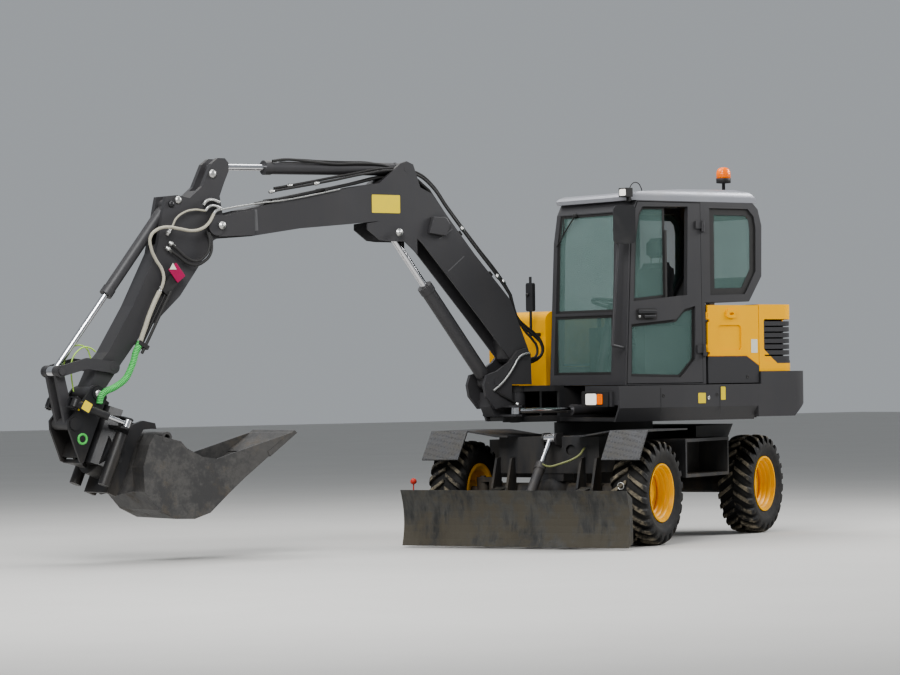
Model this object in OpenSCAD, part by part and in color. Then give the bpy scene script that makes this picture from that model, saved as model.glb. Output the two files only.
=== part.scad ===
// Compact wheeled excavator with a swing boom, a dozer blade and a tilting, turning tool head.
// Millimetres, +Z up, +X along the boom. Heights are measured from the ground. Plan positions
// are measured from the slewing axis and moved to the middle of the machine by in_frame().

/* [Chassis] */
// Angle of the chassis under the upper body, anticlockwise from the boom
chassis_turn = 26.65; // [0:0.05:40]
// Distance between the axles
wheelbase = 2100; // [1900:10:2300]
// Front axle ahead of the slewing axis
front_axle_x = 911; // [850:1:960]
// Half width of the chassis box between the wheels
frame_half = 330; // [280:5:360]
// Top of the chassis box
frame_top = 848; // [820:1:870]
// Underside of the chassis box
frame_low = 345; // [300:5:380]
// Face of the front cross plate
front_plate_x = 1020; // [1010:5:1030]

/* [Wheels] */
// Outer radius of a tyre over its lugs
tyre_r = 408; // [390:1:425]
// Width of a tyre
tyre_w = 300; // [280:5:320]
// Middle of a tyre from the chassis middle
tyre_y = 792; // [785:1:800]
// Radius of the rim flange
rim_r = 228; // [215:1:240]
// Height of a tread lug
lug_h = 26; // [15:1:35]
// Number of lugs in each of the two rows
lug_count = 16; // [12:1:22]
// Width of a lug
lug_w = 44; // [34:1:52]
// Lean of a lug from straight across
lug_lean = 42; // [25:1:55]
// Kingpin of a front wheel from the chassis middle
kingpin_y = 640; // [630:1:645]
// Running clearance of pins, shafts and rods
run_gap = 0.08; // [0.05:0.01:0.1]
// Gap between pieces that sit on each other
seat_gap = 0.3; // [0.2:0.05:0.5]

/* [Blade] */
// Full width of the dozer blade
blade_w = 1940; // [1840:10:1980]
// Height of the blade plate
blade_h = 434; // [380:2:480]
// Gap between the blade and the ground
blade_gap = 16; // [5:1:60]
// Bottom edge of the blade ahead of the slewing axis
blade_x = 1668; // [1640:1:1720]
// Thickness of the blade plate
blade_t = 14; // [8:1:25]
// Depth of the curve in the blade face
blade_sag = 46; // [20:1:70]
// Blade arm pivot ahead of the slewing axis
blade_pivot_x = 1100; // [1090:1:1110]
// Height of the blade arm pivot
blade_pivot_z = 400; // [380:5:440]

/* [Upper body] */
// Half width over the side skirts
body_half = 915; // [890:5:930]
// Swing radius of the tail
tail_r = 1650; // [1600:5:1700]
// Underside of the upper body
body_low = 958; // [940:1:980]
// Top of the skirts, and floor of the cab
deck_z = 1242; // [1220:1:1260]
// Front face of the deck
deck_front = 560; // [540:5:580]
// Top of the counterweight
weight_top = 1342; // [1310:1:1380]
// Seam between the skirts and the counterweight
weight_seam = -872; // [-900:1:-840]
// Top of the engine hood
hood_top = 1882; // [1840:1:1900]
// Swing radius of the hood's rear corner
hood_r = 1530; // [1480:5:1580]
// Thickness of the sheet covers
sheet = 14; // [8:1:20]

/* [Cab] */
// Left face of the cab and of its door
cab_left = 900; // [880:1:905]
// Right face of the cab
cab_right = -70; // [-90:1:-50]
// Thickness of the cab frame
cab_wall = 46; // [36:1:60]
// Thickness of a glass pane
glass_t = 6; // [4:1:10]
// Thickness of the door
door_t = 40; // [30:1:44]

/* [Swing post] */
// Kingpin of the swing post ahead of the slewing axis
post_x = 900; // [880:1:920]
// Radius of the swing post's kingpin
post_pin_r = 40; // [30:1:50]
// Swing cylinder eye ahead of the kingpin
swing_eye_x = 180; // [160:1:200]
// Swing cylinder eye to the left of the kingpin
swing_eye_y = 256; // [240:1:280]

/* [Boom and arm] */
// Boom foot pin ahead of the slewing axis
foot_x = 892; // [880:1:905]
// Height of the boom foot pin
foot_z = 1487; // [1470:1:1500]
// Half width of the boom box
boom_half = 95; // [85:1:105]
// Plate thickness of the boom and the arm
plate_t = 12; // [8:1:16]
// Depth that the boom's belly plate is set in over the lift cylinder
belly_inset = 100; // [80:5:120]
// Half width of the arm box
arm_half = 88; // [80:1:94]
// Radius of the main pins
pin_r = 27; // [20:1:32]
// Gap beside moving lugs
side_gap = 2; // [1:0.5:4]

/* [Tool] */
// Width of the bucket
bucket_w = 580; // [500:10:700]
// Thickness of the bucket's plates
bucket_t = 14; // [8:1:20]
// Half width of the coupler
coupler_half = 170; // [150:5:190]

/* [Hidden] */
$fn = 48;

// Middle of the machine's outline from the slewing axis
frame_x = 1636.6;
frame_y = 44.4;

// Finishes, as plain colours
charcoal = [0.20, 0.20, 0.21];
black = [0.07, 0.07, 0.08];
yellow = [0.95, 0.68, 0.08];
rubber = [0.10, 0.10, 0.10];
chrome = [0.80, 0.80, 0.82];
steel = [0.33, 0.32, 0.31];
glass = [0.55, 0.68, 0.70, 0.5];

// Main pins in the plane of the boom, as [x, z]
foot = [foot_x, foot_z];
arm_pivot = [3736, 2475];
boom_lug = [2090, 2452];
boom_base = [1166, 1283];
arm_base = [1984, 2950];
arm_lug = [3655, 2924];
bucket_base = [4107, 2626];
link_on_arm = [4628, 1430];
link_pin = [5062, 1405];
bucket_pin = [4782, 1241];
hitch_pin = [4974, 1022];

// Directions of the tool head: along its turning axis, and along the coupler
tool_angle = 203;

function polar(a, r) = [r * cos(a), r * sin(a)];
function length2(v) = norm(v);
function angle2(v) = atan2(v[1], v[0]);
// A point of the tool head, from its distance past the bucket pin and along the coupler
function tool_point(past, along) = bucket_pin + polar(tool_angle, past) + polar(tool_angle + 90, along);

// Puts a piece in the machine's frame
module in_frame() {
    translate([-frame_x, -frame_y, 0]) children();
}

// Puts a piece of the chassis in the machine's frame
module in_chassis() {
    in_frame() rotate([0, 0, chassis_turn]) children();
}

// A flat plate in the plane of the boom, between two distances to the left
module side_plate(outline, y_low, y_high) {
    translate([0, y_high, 0]) rotate([90, 0, 0]) linear_extrude(y_high - y_low) polygon(outline);
}

// A round boss across the boom's plane
module cross_boss(at, r, y_low, y_high) {
    translate([at[0], y_high, at[1]]) rotate([90, 0, 0]) cylinder(h = y_high - y_low, r = r);
}

// A round bar in the plane of the boom, from one point towards another
module plane_bar(from, angle, start, end, r) {
    translate([from[0], 0, from[1]]) rotate([0, 90 - angle, 0])
        translate([0, 0, start]) cylinder(h = end - start, r = r);
}

// A box in the plane of the boom, along a bar's line
module plane_block(from, angle, start, end, half_up, half_across) {
    translate([from[0], 0, from[1]]) rotate([0, -angle, 0])
        translate([start, -half_across, -half_up]) cube([end - start, 2 * half_across, 2 * half_up]);
}

// A cylinder barrel in the plane of the boom: base eye, neck, tube and gland
module barrel(base, tip, eye_r, eye_half, neck, tube_r, gland_at, rod_r) {
    a = angle2(tip - base);
    difference() {
        union() {
            cross_boss(base, eye_r, -eye_half, eye_half);
            plane_block(base, a, 0, neck, tube_r * 0.7, min(eye_half, tube_r * 0.7));
            plane_bar(base, a, neck, gland_at, tube_r);
            plane_bar(base, a, gland_at - 60, gland_at, tube_r + 5);
        }
        cross_boss(base, pin_r + run_gap, -eye_half - 1, eye_half + 1);
        plane_bar(base, a, neck + 8, gland_at + 1, rod_r + run_gap);
    }
}

// A piston rod from inside its barrel to its eye, with the pin in the eye
module piston_rod(base, tip, eye_r, eye_half, rod_r, tail_at) {
    a = angle2(tip - base);
    cross_boss(tip, eye_r, -eye_half, eye_half);
    plane_bar(base, a, tail_at, length2(tip - base) - eye_r / 2, rod_r);
}

function unit(v) = v / norm(v);

// A straight round bar between two points in space
module run(from, to, r) {
    d = to - from;
    translate(from) rotate([0, acos(d[2] / norm(d)), atan2(d[1], d[0])])
        cylinder(h = norm(d), r = r, $fn = 24);
}

// A hose or a bent pipe through points in space, with a round elbow at each
module pipe(points, r) {
    for (i = [1 : len(points) - 1])
        run(points[i - 1], points[i], r);
    for (i = [1 : len(points) - 2])
        translate(points[i]) sphere(r = r + 0.4, $fn = 24);
}

// A flat plate with round corners, seen from the front
module round_plate(w, h, r) {
    translate([-w / 2 + r, -h / 2]) square([w - 2 * r, h]);
    translate([-w / 2, -h / 2 + r]) square([w, h - 2 * r]);
    for (x = [-1, 1], y = [-1, 1])
        translate([x * (w / 2 - r), y * (h / 2 - r)]) circle(r = r);
}

// Chassis

axle_z = tyre_r;
rear_axle_x = front_axle_x - wheelbase;
ear_list = [-435, -305, 305, 435];
ear_t = 20;
blade_arm_y = 370;
arm_w = 80;
boss_w = 2 * (blade_arm_y - ear_list[2] - ear_t / 2) - 0.6;
// Half width of the body over the rear axle
body_in = 580;
ring_r = 400;
ring_top = 948;
spigot_r = 150;
spigot_h = 60;

module chassis_frame() {
    color(black) in_chassis() difference() {
        union() {
            // box between the wheels, raised over the axles
            side_plate([[front_plate_x, 560], [front_plate_x, frame_top], [-1200, frame_top],
                [-1200, 560], [-820, 560], [-700, frame_low], [420, frame_low], [560, 560]],
                -frame_half, frame_half);
            // rear body over the rear axle
            side_plate([[step_rear - 3, 640], [step_rear - 3, 900], [-1330, 905], [-1060, 640]],
                -body_in, body_in);
            // front cross plate
            translate([front_plate_x - 25, -ear_list[3], 560])
                cube([25, 2 * ear_list[3], frame_top - 560]);
            // ears of the blade arms
            for (y = ear_list)
                side_plate([[front_plate_x - 20, 570], [1020, 350], [blade_pivot_x, 335],
                    [blade_pivot_x + 62, 380], [blade_pivot_x + 62, 450], [1080, 680],
                    [front_plate_x - 20, 690]], y - ear_t / 2, y + ear_t / 2);
            // ears of the blade cylinder
            for (s = [-1, 1])
                translate([0, blade_cyl_y + s * 55, 0])
                    side_plate([[front_plate_x - 30, 760], [blade_top[0] + 20, 790],
                        [blade_top[0] + 42, 838], [blade_top[0] + 20, 878], [front_plate_x - 30, 878]],
                            -8, 8);
            // slewing ring
            translate([0, 0, frame_top - 5]) cylinder(h = ring_top - frame_top + 5, r = ring_r);
        }
        // hose hole in the front plate
        translate([front_plate_x - 30, 190, 744]) rotate([0, 90, 0]) cylinder(h = 60, r = 42);
        translate([0, 0, ring_top - spigot_h - 5]) cylinder(h = spigot_h + 10, r = spigot_r + run_gap);
        for (y = ear_list)
            cross_boss([blade_pivot_x, blade_pivot_z], pin_r + run_gap, y - ear_t, y + ear_t);
    }
}

module axle_beam(x, half) {
    translate([x, 0, axle_z]) {
        sphere(r = 150);
        translate([0, half, 0]) rotate([90, 0, 0]) cylinder(h = 2 * half, r = 75);
        // saddle to the frame
        translate([-100, -120, 90]) cube([200, 240, 560 - axle_z - 90.3]);
    }
}

// Reach of the spindle and of a kingpin from the wheel's middle
spindle_r = 46;
spindle_end = 30;
fork_z = 80;
fork_t = 38;

module front_axle() {
    color(black) in_chassis() difference() {
        union() {
            axle_beam(front_axle_x, kingpin_y - 120);
            for (s = [-1, 1]) translate([front_axle_x, s * kingpin_y, axle_z]) {
                for (z = [-fork_z - fork_t, fork_z]) {
                    translate([0, 0, z]) cylinder(h = fork_t, r = 52);
                    translate([-52, s > 0 ? -140 : 0, z]) cube([104, 140, fork_t]);
                }
                translate([-52, s > 0 ? -140 : 80, -fork_z - fork_t])
                    cube([104, 60, 2 * (fork_z + fork_t)]);
            }
        }
        for (s = [-1, 1])
            translate([front_axle_x, s * kingpin_y, axle_z - 200])
                cylinder(h = 400, r = 22 + run_gap);
    }
}

module rear_axle() {
    color(black) in_chassis() {
        axle_beam(rear_axle_x, tyre_y - 90);
        translate([rear_axle_x, tyre_y - spindle_end, axle_z]) rotate([90, 0, 0])
            cylinder(h = 2 * (tyre_y - spindle_end), r = spindle_r);
    }
}

// Steering knuckle with its kingpin and the wheel's spindle
module knuckle(side) {
    color(black) in_chassis() translate([front_axle_x, side * kingpin_y, axle_z]) {
        translate([0, 0, 0.3 - fork_z]) cylinder(h = 2 * fork_z - 0.6, r = 50);
        translate([0, 0, -fork_z - fork_t - 12]) cylinder(h = 2 * (fork_z + fork_t + 12), r = 22);
        rotate([-90 * side, 0, 0]) cylinder(h = tyre_y - spindle_end - kingpin_y, r = spindle_r);
    }
}

module knuckle_left() knuckle(1);
module knuckle_right() knuckle(-1);

// Front fender plates: flat top, slanted front and inner slope
fender_top = 900;
fender_t = 12;
fender_out = 940;
fender_in = 620;

module front_fenders() {
    color(charcoal) in_chassis() for (s = [0, 1]) mirror([0, s, 0]) {
        // flat top that slopes down to the frame
        translate([450, 0, 0]) rotate([90, 0, 90]) linear_extrude(1205 - 450)
            polygon([[fender_out, fender_top], [fender_out, fender_top - fender_t],
                [fender_in, fender_top - fender_t], [frame_half + 40, frame_top + 0.3],
                [frame_half - 60, frame_top + 0.3], [frame_half - 60, frame_top + 12],
                [frame_half + 34, frame_top + 12], [fender_in - 4, fender_top]]);
        // slanted front over the tyre
        side_plate([[1190, fender_top - fender_t], [1190, fender_top], [1213, fender_top],
            [1384, 678], [1374, 671], [1206, fender_top - fender_t]], fender_in, fender_out);
    }
}

// Step boxes between the wheels
step_front = 335;
step_rear = -545;
step_low = 505;
step_high = 812;
step_out = 870;

module side_steps() {
    color(black) in_chassis() for (s = [0, 1]) mirror([0, s, 0]) {
        difference() {
            translate([step_rear, frame_half + 0.3, step_low])
                cube([step_front - step_rear, step_out - frame_half, step_high - step_low]);
            translate([step_rear + 30, step_out - 250, step_low + 26])
                cube([step_front - step_rear - 60, 300, step_high - step_low - 52]);
        }
    }
}

// Wheels

tyre_shoulder = tyre_w / 2 - 14;
lug_foot_r = tyre_r - lug_h;

// Radius of the bead seat of a rim
seat_r = rim_r - 8;

module tyre_body() {
    rotate([90, 0, 0]) rotate_extrude($fn = 64)
        polygon([[seat_r + 0.3, -110], [rim_r + 30, -tyre_w / 2 + 22], [tyre_r - 110, -tyre_w / 2],
            [tyre_r - 55, -tyre_w / 2 + 6], [lug_foot_r - 8, -tyre_shoulder + 30],
            [lug_foot_r, -40], [lug_foot_r, 40],
            [lug_foot_r - 8, tyre_shoulder - 30], [tyre_r - 55, tyre_w / 2 - 6],
            [tyre_r - 110, tyre_w / 2], [rim_r + 30, tyre_w / 2 - 22], [seat_r + 0.3, 110]]);
}

module tyre_lugs() {
    intersection() {
        rotate([90, 0, 0]) rotate_extrude($fn = 64)
            polygon([[lug_foot_r - 40, -tyre_w / 2], [tyre_r - 46, -tyre_w / 2],
                [tyre_r - 8, -tyre_shoulder + 8], [tyre_r, -50], [tyre_r, 50],
                [tyre_r - 8, tyre_shoulder - 8], [tyre_r - 46, tyre_w / 2], [lug_foot_r - 40, tyre_w / 2]]);
        union() for (row = [0, 1], k = [0 : lug_count - 1])
            rotate([0, (k + row / 2) * 360 / lug_count, 0]) mirror([0, row, 0])
                translate([0, -10, lug_foot_r - 50]) rotate([0, 0, -lug_lean])
                    translate([-lug_w / 2, 0, 0]) cube([lug_w, tyre_w * 0.8, 120]);
    }
}

module tyre(x, side) {
    color(rubber) in_chassis() translate([x, side * tyre_y, axle_z]) {
        tyre_body();
        tyre_lugs();
    }
}

module tyre_front_left() tyre(front_axle_x, 1);
module tyre_front_right() tyre(front_axle_x, -1);
module tyre_rear_left() tyre(rear_axle_x, 1);
module tyre_rear_right() tyre(rear_axle_x, -1);

// Distance from the tyre's middle to the outer face of the rim flange
rim_face = 129;

module rim(x, side) {
    color(yellow) in_chassis() translate([x, side * tyre_y, axle_z]) rotate([-90 * side, 0, 0])
        difference() {
            rotate_extrude($fn = 64)
                polygon([[0, -60], [96, -60], [96, -40], [rim_r - 62, -40], [rim_r - 50, 20 - rim_face],
                    [rim_r - 20, -rim_face], [rim_r, -rim_face], [rim_r, 12 - rim_face],
                    [seat_r, 16 - rim_face], [seat_r, rim_face - 16], [rim_r, rim_face - 12],
                    [rim_r, rim_face], [rim_r - 14, rim_face], [rim_r - 26, rim_face - 30],
                    [rim_r - 34, 20], [rim_r - 74, 4], [rim_r - 120, -16], [86, -16], [80, 24], [0, 24]]);
            // blind bore over the spindle
            translate([0, 0, -61]) cylinder(h = 61 - spindle_end + 2, r = spindle_r + run_gap);
        }
}

module rim_front_left() rim(front_axle_x, 1);
module rim_front_right() rim(front_axle_x, -1);
module rim_rear_left() rim(rear_axle_x, 1);
module rim_rear_right() rim(rear_axle_x, -1);

// Dozer blade

blade_top_z = blade_gap + blade_h;
blade_cyl_y = 50;
blade_top = [1090, 838];
blade_low = [1535, 324];
blade_steps = 8;
// Face of the blade at a share of its height
function blade_face(t) = [blade_x + 22 * t - blade_sag * (1 - pow(2 * t - 1, 2)), blade_gap + blade_h * t];
blade_arc = [for (i = [0 : blade_steps]) blade_face(i / blade_steps)];

module dozer_blade() {
    color(steel) in_chassis() {
        side_plate(concat(blade_arc, [for (i = [blade_steps : -1 : 0]) blade_arc[i] - [blade_t, 0]]),
            -blade_w / 2, blade_w / 2);
        // end plates
        for (y = [-blade_w / 2, blade_w / 2 - 16])
            side_plate(concat([for (p = blade_arc) p - [2, 0]],
                [[blade_x - 84, blade_top_z - 60], [blade_x - 96, blade_gap + 40]]), y, y + 16);
        // stiffener along the top of the back
        side_plate([[blade_x - 20, blade_top_z - 60], [blade_x + 6, blade_top_z - 8],
            [blade_x - 60, blade_top_z - 30], [blade_x - 64, blade_top_z - 120],
            [blade_x - 50, blade_top_z - 150]], 10 - blade_w / 2, blade_w / 2 - 10);
        for (s = [-1, 1]) {
            side_plate([[blade_x - 55, 90], [blade_x - 55, 350], [blade_pivot_x + 80, blade_pivot_z + 45],
                [blade_pivot_x, blade_pivot_z + 45], [blade_pivot_x, blade_pivot_z - 45]],
                s * blade_arm_y - arm_w / 2, s * blade_arm_y + arm_w / 2);
            cross_boss([blade_pivot_x, blade_pivot_z], 58, s * blade_arm_y - boss_w / 2,
                s * blade_arm_y + boss_w / 2);
        }
        // cross tube between the arms, and the cylinder's lugs
        translate([1380, -blade_arm_y, 190]) cube([70, 2 * blade_arm_y, 100]);
        for (s = [-1, 1])
            translate([0, blade_cyl_y + s * 40, 0])
                side_plate([[1420, 200], [blade_x - 50, 110], [blade_x - 50, 330],
                    [1560, 366], [1520, 368], [1490, 340], [1420, 280]], -8, 8);
        // pivot pins
        for (s = [-1, 1])
            cross_boss([blade_pivot_x, blade_pivot_z], pin_r, s * blade_arm_y - 82, s * blade_arm_y + 82);
        cross_boss(blade_low, pin_r, blade_cyl_y - 48, blade_cyl_y + 48);
    }
}

module blade_barrel() {
    color(black) in_chassis() translate([0, blade_cyl_y, 0])
        barrel(blade_low, blade_top, 40, 31, 70, 40, 416, 22);
}

module blade_rod() {
    color(chrome) in_chassis() translate([0, blade_cyl_y, 0])
        piston_rod(blade_low, blade_top, 34, 46, 22, 302);
}

// Upper body

module revolving_frame() {
    color(black) in_frame() {
        difference() {
            union() {
                // floor plate
                translate([weight_seam + seat_gap, -820, body_low + 4]) cube([540 - weight_seam, 1640, 30]);
                translate([-1280, -420, body_low + 4]) cube([500, 840, 30]);
                // rubber mounts of the cab
                for (x = [-250, 420], y = [60, 780])
                    translate([x, y, body_low + 30]) cylinder(h = cab_floor - body_low - 30 - seat_gap,
                        r = 40);
                // bulkhead ahead of the engine, with the hood's hinge lugs
                translate([bulkhead_x, -860, weight_top + seat_gap])
                    cube([8, 1700, hood_top - 12 - weight_top]);
                translate([bulkhead_x, -550, body_low + 30]) cube([8, 1100, weight_top - body_low]);
                for (y = hood_lugs) {
                    cross_boss(hood_hinge, 13, y - 6, y + 6);
                    side_plate([[bulkhead_x + 8, hood_top - 20], hood_hinge + [43, 13], hood_hinge + [0, 13],
                        hood_hinge + [0, -13], hood_hinge + [35, -13], [bulkhead_x, hood_top - 20]],
                            y - 6, y + 6);
                }
                // lengthwise webs out to the nose
                for (y = [-130, 100])
                    translate([-780, y, body_low + 34]) cube([1330, 30, deck_z - body_low - 44]);
                // ears of the kingpin
                for (z = [nose_low, nose_high])
                    translate([0, 0, z]) linear_extrude(nose_t) union() {
                        translate([post_x, 0]) circle(r = 98);
                        polygon([[500, -130], [500, 130], [600, 130], [post_x - 20, 94],
                            [post_x - 20, -94], [600, -130]]);
                    }
                // slewing ring and its spigot
                translate([0, 0, ring_top + 0.3]) cylinder(h = 40, r = ring_r - 20);
                translate([0, 0, ring_top - spigot_h]) cylinder(h = spigot_h + 20, r = spigot_r);
            }
            translate([post_x, 0, 900]) cylinder(h = 400, r = post_pin_r + run_gap);
        }
        for (y = [-280, 280])
            cross_boss(hood_hinge, 8, y - 24, y + 24);
        // pin of the swing cylinder's base
        translate([swing_base[0], swing_base[1], body_low + 20]) {
            cylinder(h = swing_z - 32 - body_low - 20, r = 60);
            cylinder(h = swing_z + 45 - body_low - 20, r = pin_r);
        }
    }
}

// Section of a side skirt, as [distance out, height]
skirt_section = [[body_half - 20, deck_z], [body_half, deck_z], [body_half, 1066],
    [body_half - 58, body_low], [body_half - 80, body_low], [body_half - 20, 1070]];

module side_skirts() {
    color(charcoal) in_frame() {
        for (s = [0, 1]) mirror([0, s, 0])
            translate([weight_seam + seat_gap, 0, 0]) rotate([90, 0, 90])
                linear_extrude(deck_front - weight_seam - seat_gap)
                polygon(skirt_section);
        // front panel beside the nose, with the lamp box
        translate([deck_front - 20, 480, 1090]) cube([20, body_half - 500, deck_z - 1090]);
        translate([deck_front, 500, 1078]) cube([26, 350, 118]);
        translate([deck_front - 20, -body_half + 20, 1000]) cube([20, 560, deck_z - 1000]);
    }
}

// Plan of the tail, with its corners rounded
tail_corner = 150;

module tail_plan(r, half, corner, front) {
    cx = -sqrt(pow(r - corner, 2) - pow(half - corner, 2));
    cy = half - corner;
    ty = cy * r / (r - corner);
    tx = cx * r / (r - corner);
    intersection() {
        circle(r = r, $fn = 120);
        polygon([[front, -ty], [front, ty], [tx, ty], [2 * tx, 2 * ty], [2 * tx, -2 * ty], [tx, -ty]]);
    }
    for (s = [-1, 1])
        translate([cx, s * cy]) circle(r = corner);
    translate([cx, -half]) square([front - cx, 2 * half]);
}

module counterweight() {
    color(charcoal) in_frame() difference() {
        intersection() {
            translate([0, 0, body_low + 20]) linear_extrude(weight_top - body_low - 20)
                tail_plan(tail_r, body_half, tail_corner, weight_seam);
            union() {
                translate([0, 0, 1087]) cylinder(h = weight_top - 1087, r = tail_r + 10, $fn = 120);
                translate([0, 0, body_low + 20])
                    cylinder(h = 1087 - body_low - 20, r1 = tail_r - 90, r2 = tail_r + 2, $fn = 120);
            }
        }
        // upper front edge, behind the service door
        translate([hood_front - 4, -1000, deck_z]) cube([100, 2000, 200]);
        // bay of the engine
        translate([-1290, -560, body_low]) cube([500, 1120, 500]);
    }
}

module engine_block() {
    color(steel) in_frame() translate([-1270, -400, body_low + 34 + seat_gap]) cube([350, 800, 560]);
}

hood_front = -902;
hood_hinge = [hood_front - 28, hood_top + 20];
bulkhead_x = hood_front + 7;
hood_lugs = [-298, -262, 262, 298];

// Slope of the top's rear edge, and the band of the rear corner grilles
hood_slope_x = -1290;
grille_low = 1428;
grille_high = 1762;

module engine_hood() {
    color(yellow) in_frame() {
        difference() {
            translate([0, 0, weight_top + seat_gap]) linear_extrude(hood_top - weight_top - seat_gap)
                tail_plan(hood_r, cab_left, 110, hood_front);
            translate([0, 0, weight_top]) linear_extrude(hood_top - weight_top - sheet)
                intersection() {
                    tail_plan(hood_r - sheet, cab_left - sheet, 96, hood_front - 20);
                    translate([hood_slope_x, -1000]) square([1000, 2000]);
                }
            translate([0, 0, weight_top]) linear_extrude(hood_top - 100 - weight_top - sheet)
                tail_plan(hood_r - sheet, cab_left - sheet, 96, hood_front - 20);
            // sloping rear edge of the top
            side_plate([[hood_slope_x, hood_top], [hood_slope_x, hood_top + 50],
                [-hood_r - 20, hood_top + 50],
                [-hood_r - 20, hood_top - 90]], -1000, 1000);
            // open front, inside the side walls
            translate([hood_front - 30, sheet - cab_left, weight_top])
                    cube([40, 2 * (cab_left - sheet), hood_top - sheet - weight_top]);
            // grille openings in the rear corners
            for (s = [0, 1]) mirror([0, s, 0])
                translate([-1400, 640, grille_low]) cube([440, 400, grille_high - grille_low]);
        }
        // knuckles of the hinge
        for (s = [0, 1]) mirror([0, s, 0]) difference() {
            union() {
                cross_boss(hood_hinge, 13, 270, 290);
                translate([hood_hinge[0] - 13, 270, hood_top - 1]) cube([26, 20, 21]);
            }
            cross_boss(hood_hinge, 8 + run_gap, 260, 300);
        }
    }
    // grille slats
    color(charcoal) in_frame() for (s = [0, 1]) mirror([0, s, 0]) for (k = [0 : 6])
        intersection() {
            translate([-1400, 640, grille_low + 47 * k]) cube([440, 400, 36]);
            difference() {
                linear_extrude(2000) tail_plan(hood_r - 4, cab_left - 4, 106, hood_front);
                translate([0, 0, -1]) linear_extrude(2002)
                    tail_plan(hood_r - sheet, cab_left - sheet, 96, hood_front + 40);
            }
        }
}

service_front = -345;
service_low = deck_z + 8;
service_hinge = [service_front - 11, cab_left - 11];
service_knuckles = [1500, 1760];

module service_door() {
    color(yellow) in_frame() {
        difference() {
            union() {
                side_plate([[hood_front + 5, service_low], [hood_front + 5, hood_top - 6],
                    [service_front - 17, hood_top - 6], [service_front - 17, service_low]],
                cab_left - 30, cab_left);
                for (z = service_knuckles)
                    translate([service_hinge[0], service_hinge[1], z]) cylinder(h = 60, r = 9);
            }
            translate([-592, cab_left + 1, 1615]) rotate([90, 0, 0]) linear_extrude(9)
                round_plate(242, 200, 28);
            // groove between the yellow panel and the charcoal one below
            side_plate([[hood_front, 1386], [-768, 1466], [service_front, 1466], [service_front, 1470],
                [-769, 1470], [hood_front, 1390]], cab_left - 4, cab_left + 1);
            for (z = service_knuckles) {
                translate([service_hinge[0], service_hinge[1], z - 20]) cylinder(h = 120, r = 5 + run_gap);
                translate([service_hinge[0] - 24, cab_left - 31, z - 20]) cube([48, 40, 20]);
            }
        }
        // latch housing
        translate([-604, cab_left + 14, 1806]) rotate([90, 0, 0]) linear_extrude(16) difference() {
            round_plate(100, 66, 20);
            round_plate(46, 20, 9);
        }
    }
}

cover_rear = weight_seam + 4;
cover_low = deck_z + seat_gap;

module right_cover() {
    color(yellow) in_frame() difference() {
        union() {
            translate([cover_rear, -cab_left, cover_low])
                cube([400 - cover_rear, cab_left - 130, 1850 - cover_low]);
            translate([394, -cab_left, cover_low]) cube([86, cab_left - 130, 1850 - 80 - cover_low]);
            translate([400, -130, 1770]) rotate([90, 0, 0]) cylinder(h = cab_left - 130, r = 80);
            translate([hood_front + 5, -cab_left, cover_low]) cube([50, sheet, 1850 - cover_low]);
        }
        translate([cover_rear + sheet, -cab_left + sheet, cover_low - 1])
            cube([400 - cover_rear - sheet, cab_left - 130 - 2 * sheet, 1850 - cover_low - sheet + 1]);
        translate([380, -cab_left + sheet, cover_low - 1])
            cube([86, cab_left - 130 - 2 * sheet, 1850 - 80 - cover_low]);
    }
}

// Cab

cab_floor = deck_z + 4;
roof_low = 2700;
door_gap = 5;
// Outline of the cab from the left, as [x, z], up to the roof
cab_side = [[488, cab_floor], [430, 2390], [392, 2620], [350, roof_low], [-850, roof_low],
    [-905, 2650], [-943, 2520], [-935, 2110], [-800, 1905], [service_front + 5, 1895],
    [service_front + 5, cab_floor]];
cab_side_in = [[488 - cab_wall, cab_floor + 40], [430 - cab_wall, 2390], [392 - cab_wall, 2620],
    [350 - cab_wall, roof_low + 1], [-850 + 20, roof_low + 1], [-905 + cab_wall, 2640],
    [-943 + cab_wall, 2520], [-935 + cab_wall, 2122], [-780, 1905 + cab_wall],
    [service_front + cab_wall, 1895 + cab_wall], [service_front + cab_wall, cab_floor + 40]];
door_opening = [[474, cab_floor + 8], [414, 2390], [378, 2620], [345, roof_low - 8], [-300, roof_low - 8],
    [-308, cab_floor + 8]];
door_outline = [[474 - door_gap, cab_floor + 8 + door_gap], [414 - door_gap, 2390], [378 - door_gap, 2620],
    [345 - door_gap, roof_low - 8 - door_gap], [door_gap - 300, roof_low - 8 - door_gap],
    [door_gap - 308, cab_floor + 8 + door_gap]];
door_upper = [[395, 1905], [372, 2390], [330, 2600], [290, 2650], [-170, 2658], [-150, 1955]];
door_lower = [[421, 1723], [-35, 1762], [-121, 1841], [-233, 1868], [-226, 1445], [-78, 1302], [430, 1314]];
quarter_window = [[-395, 2650], [-800, 2650], [-862, 2590], [-880, 2500], [-875, 2150],
    [-760, 1965], [-395, 1955]];
door_hinge = [-312, cab_left + 15];
door_knuckles = [1494, 2485];

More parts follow.
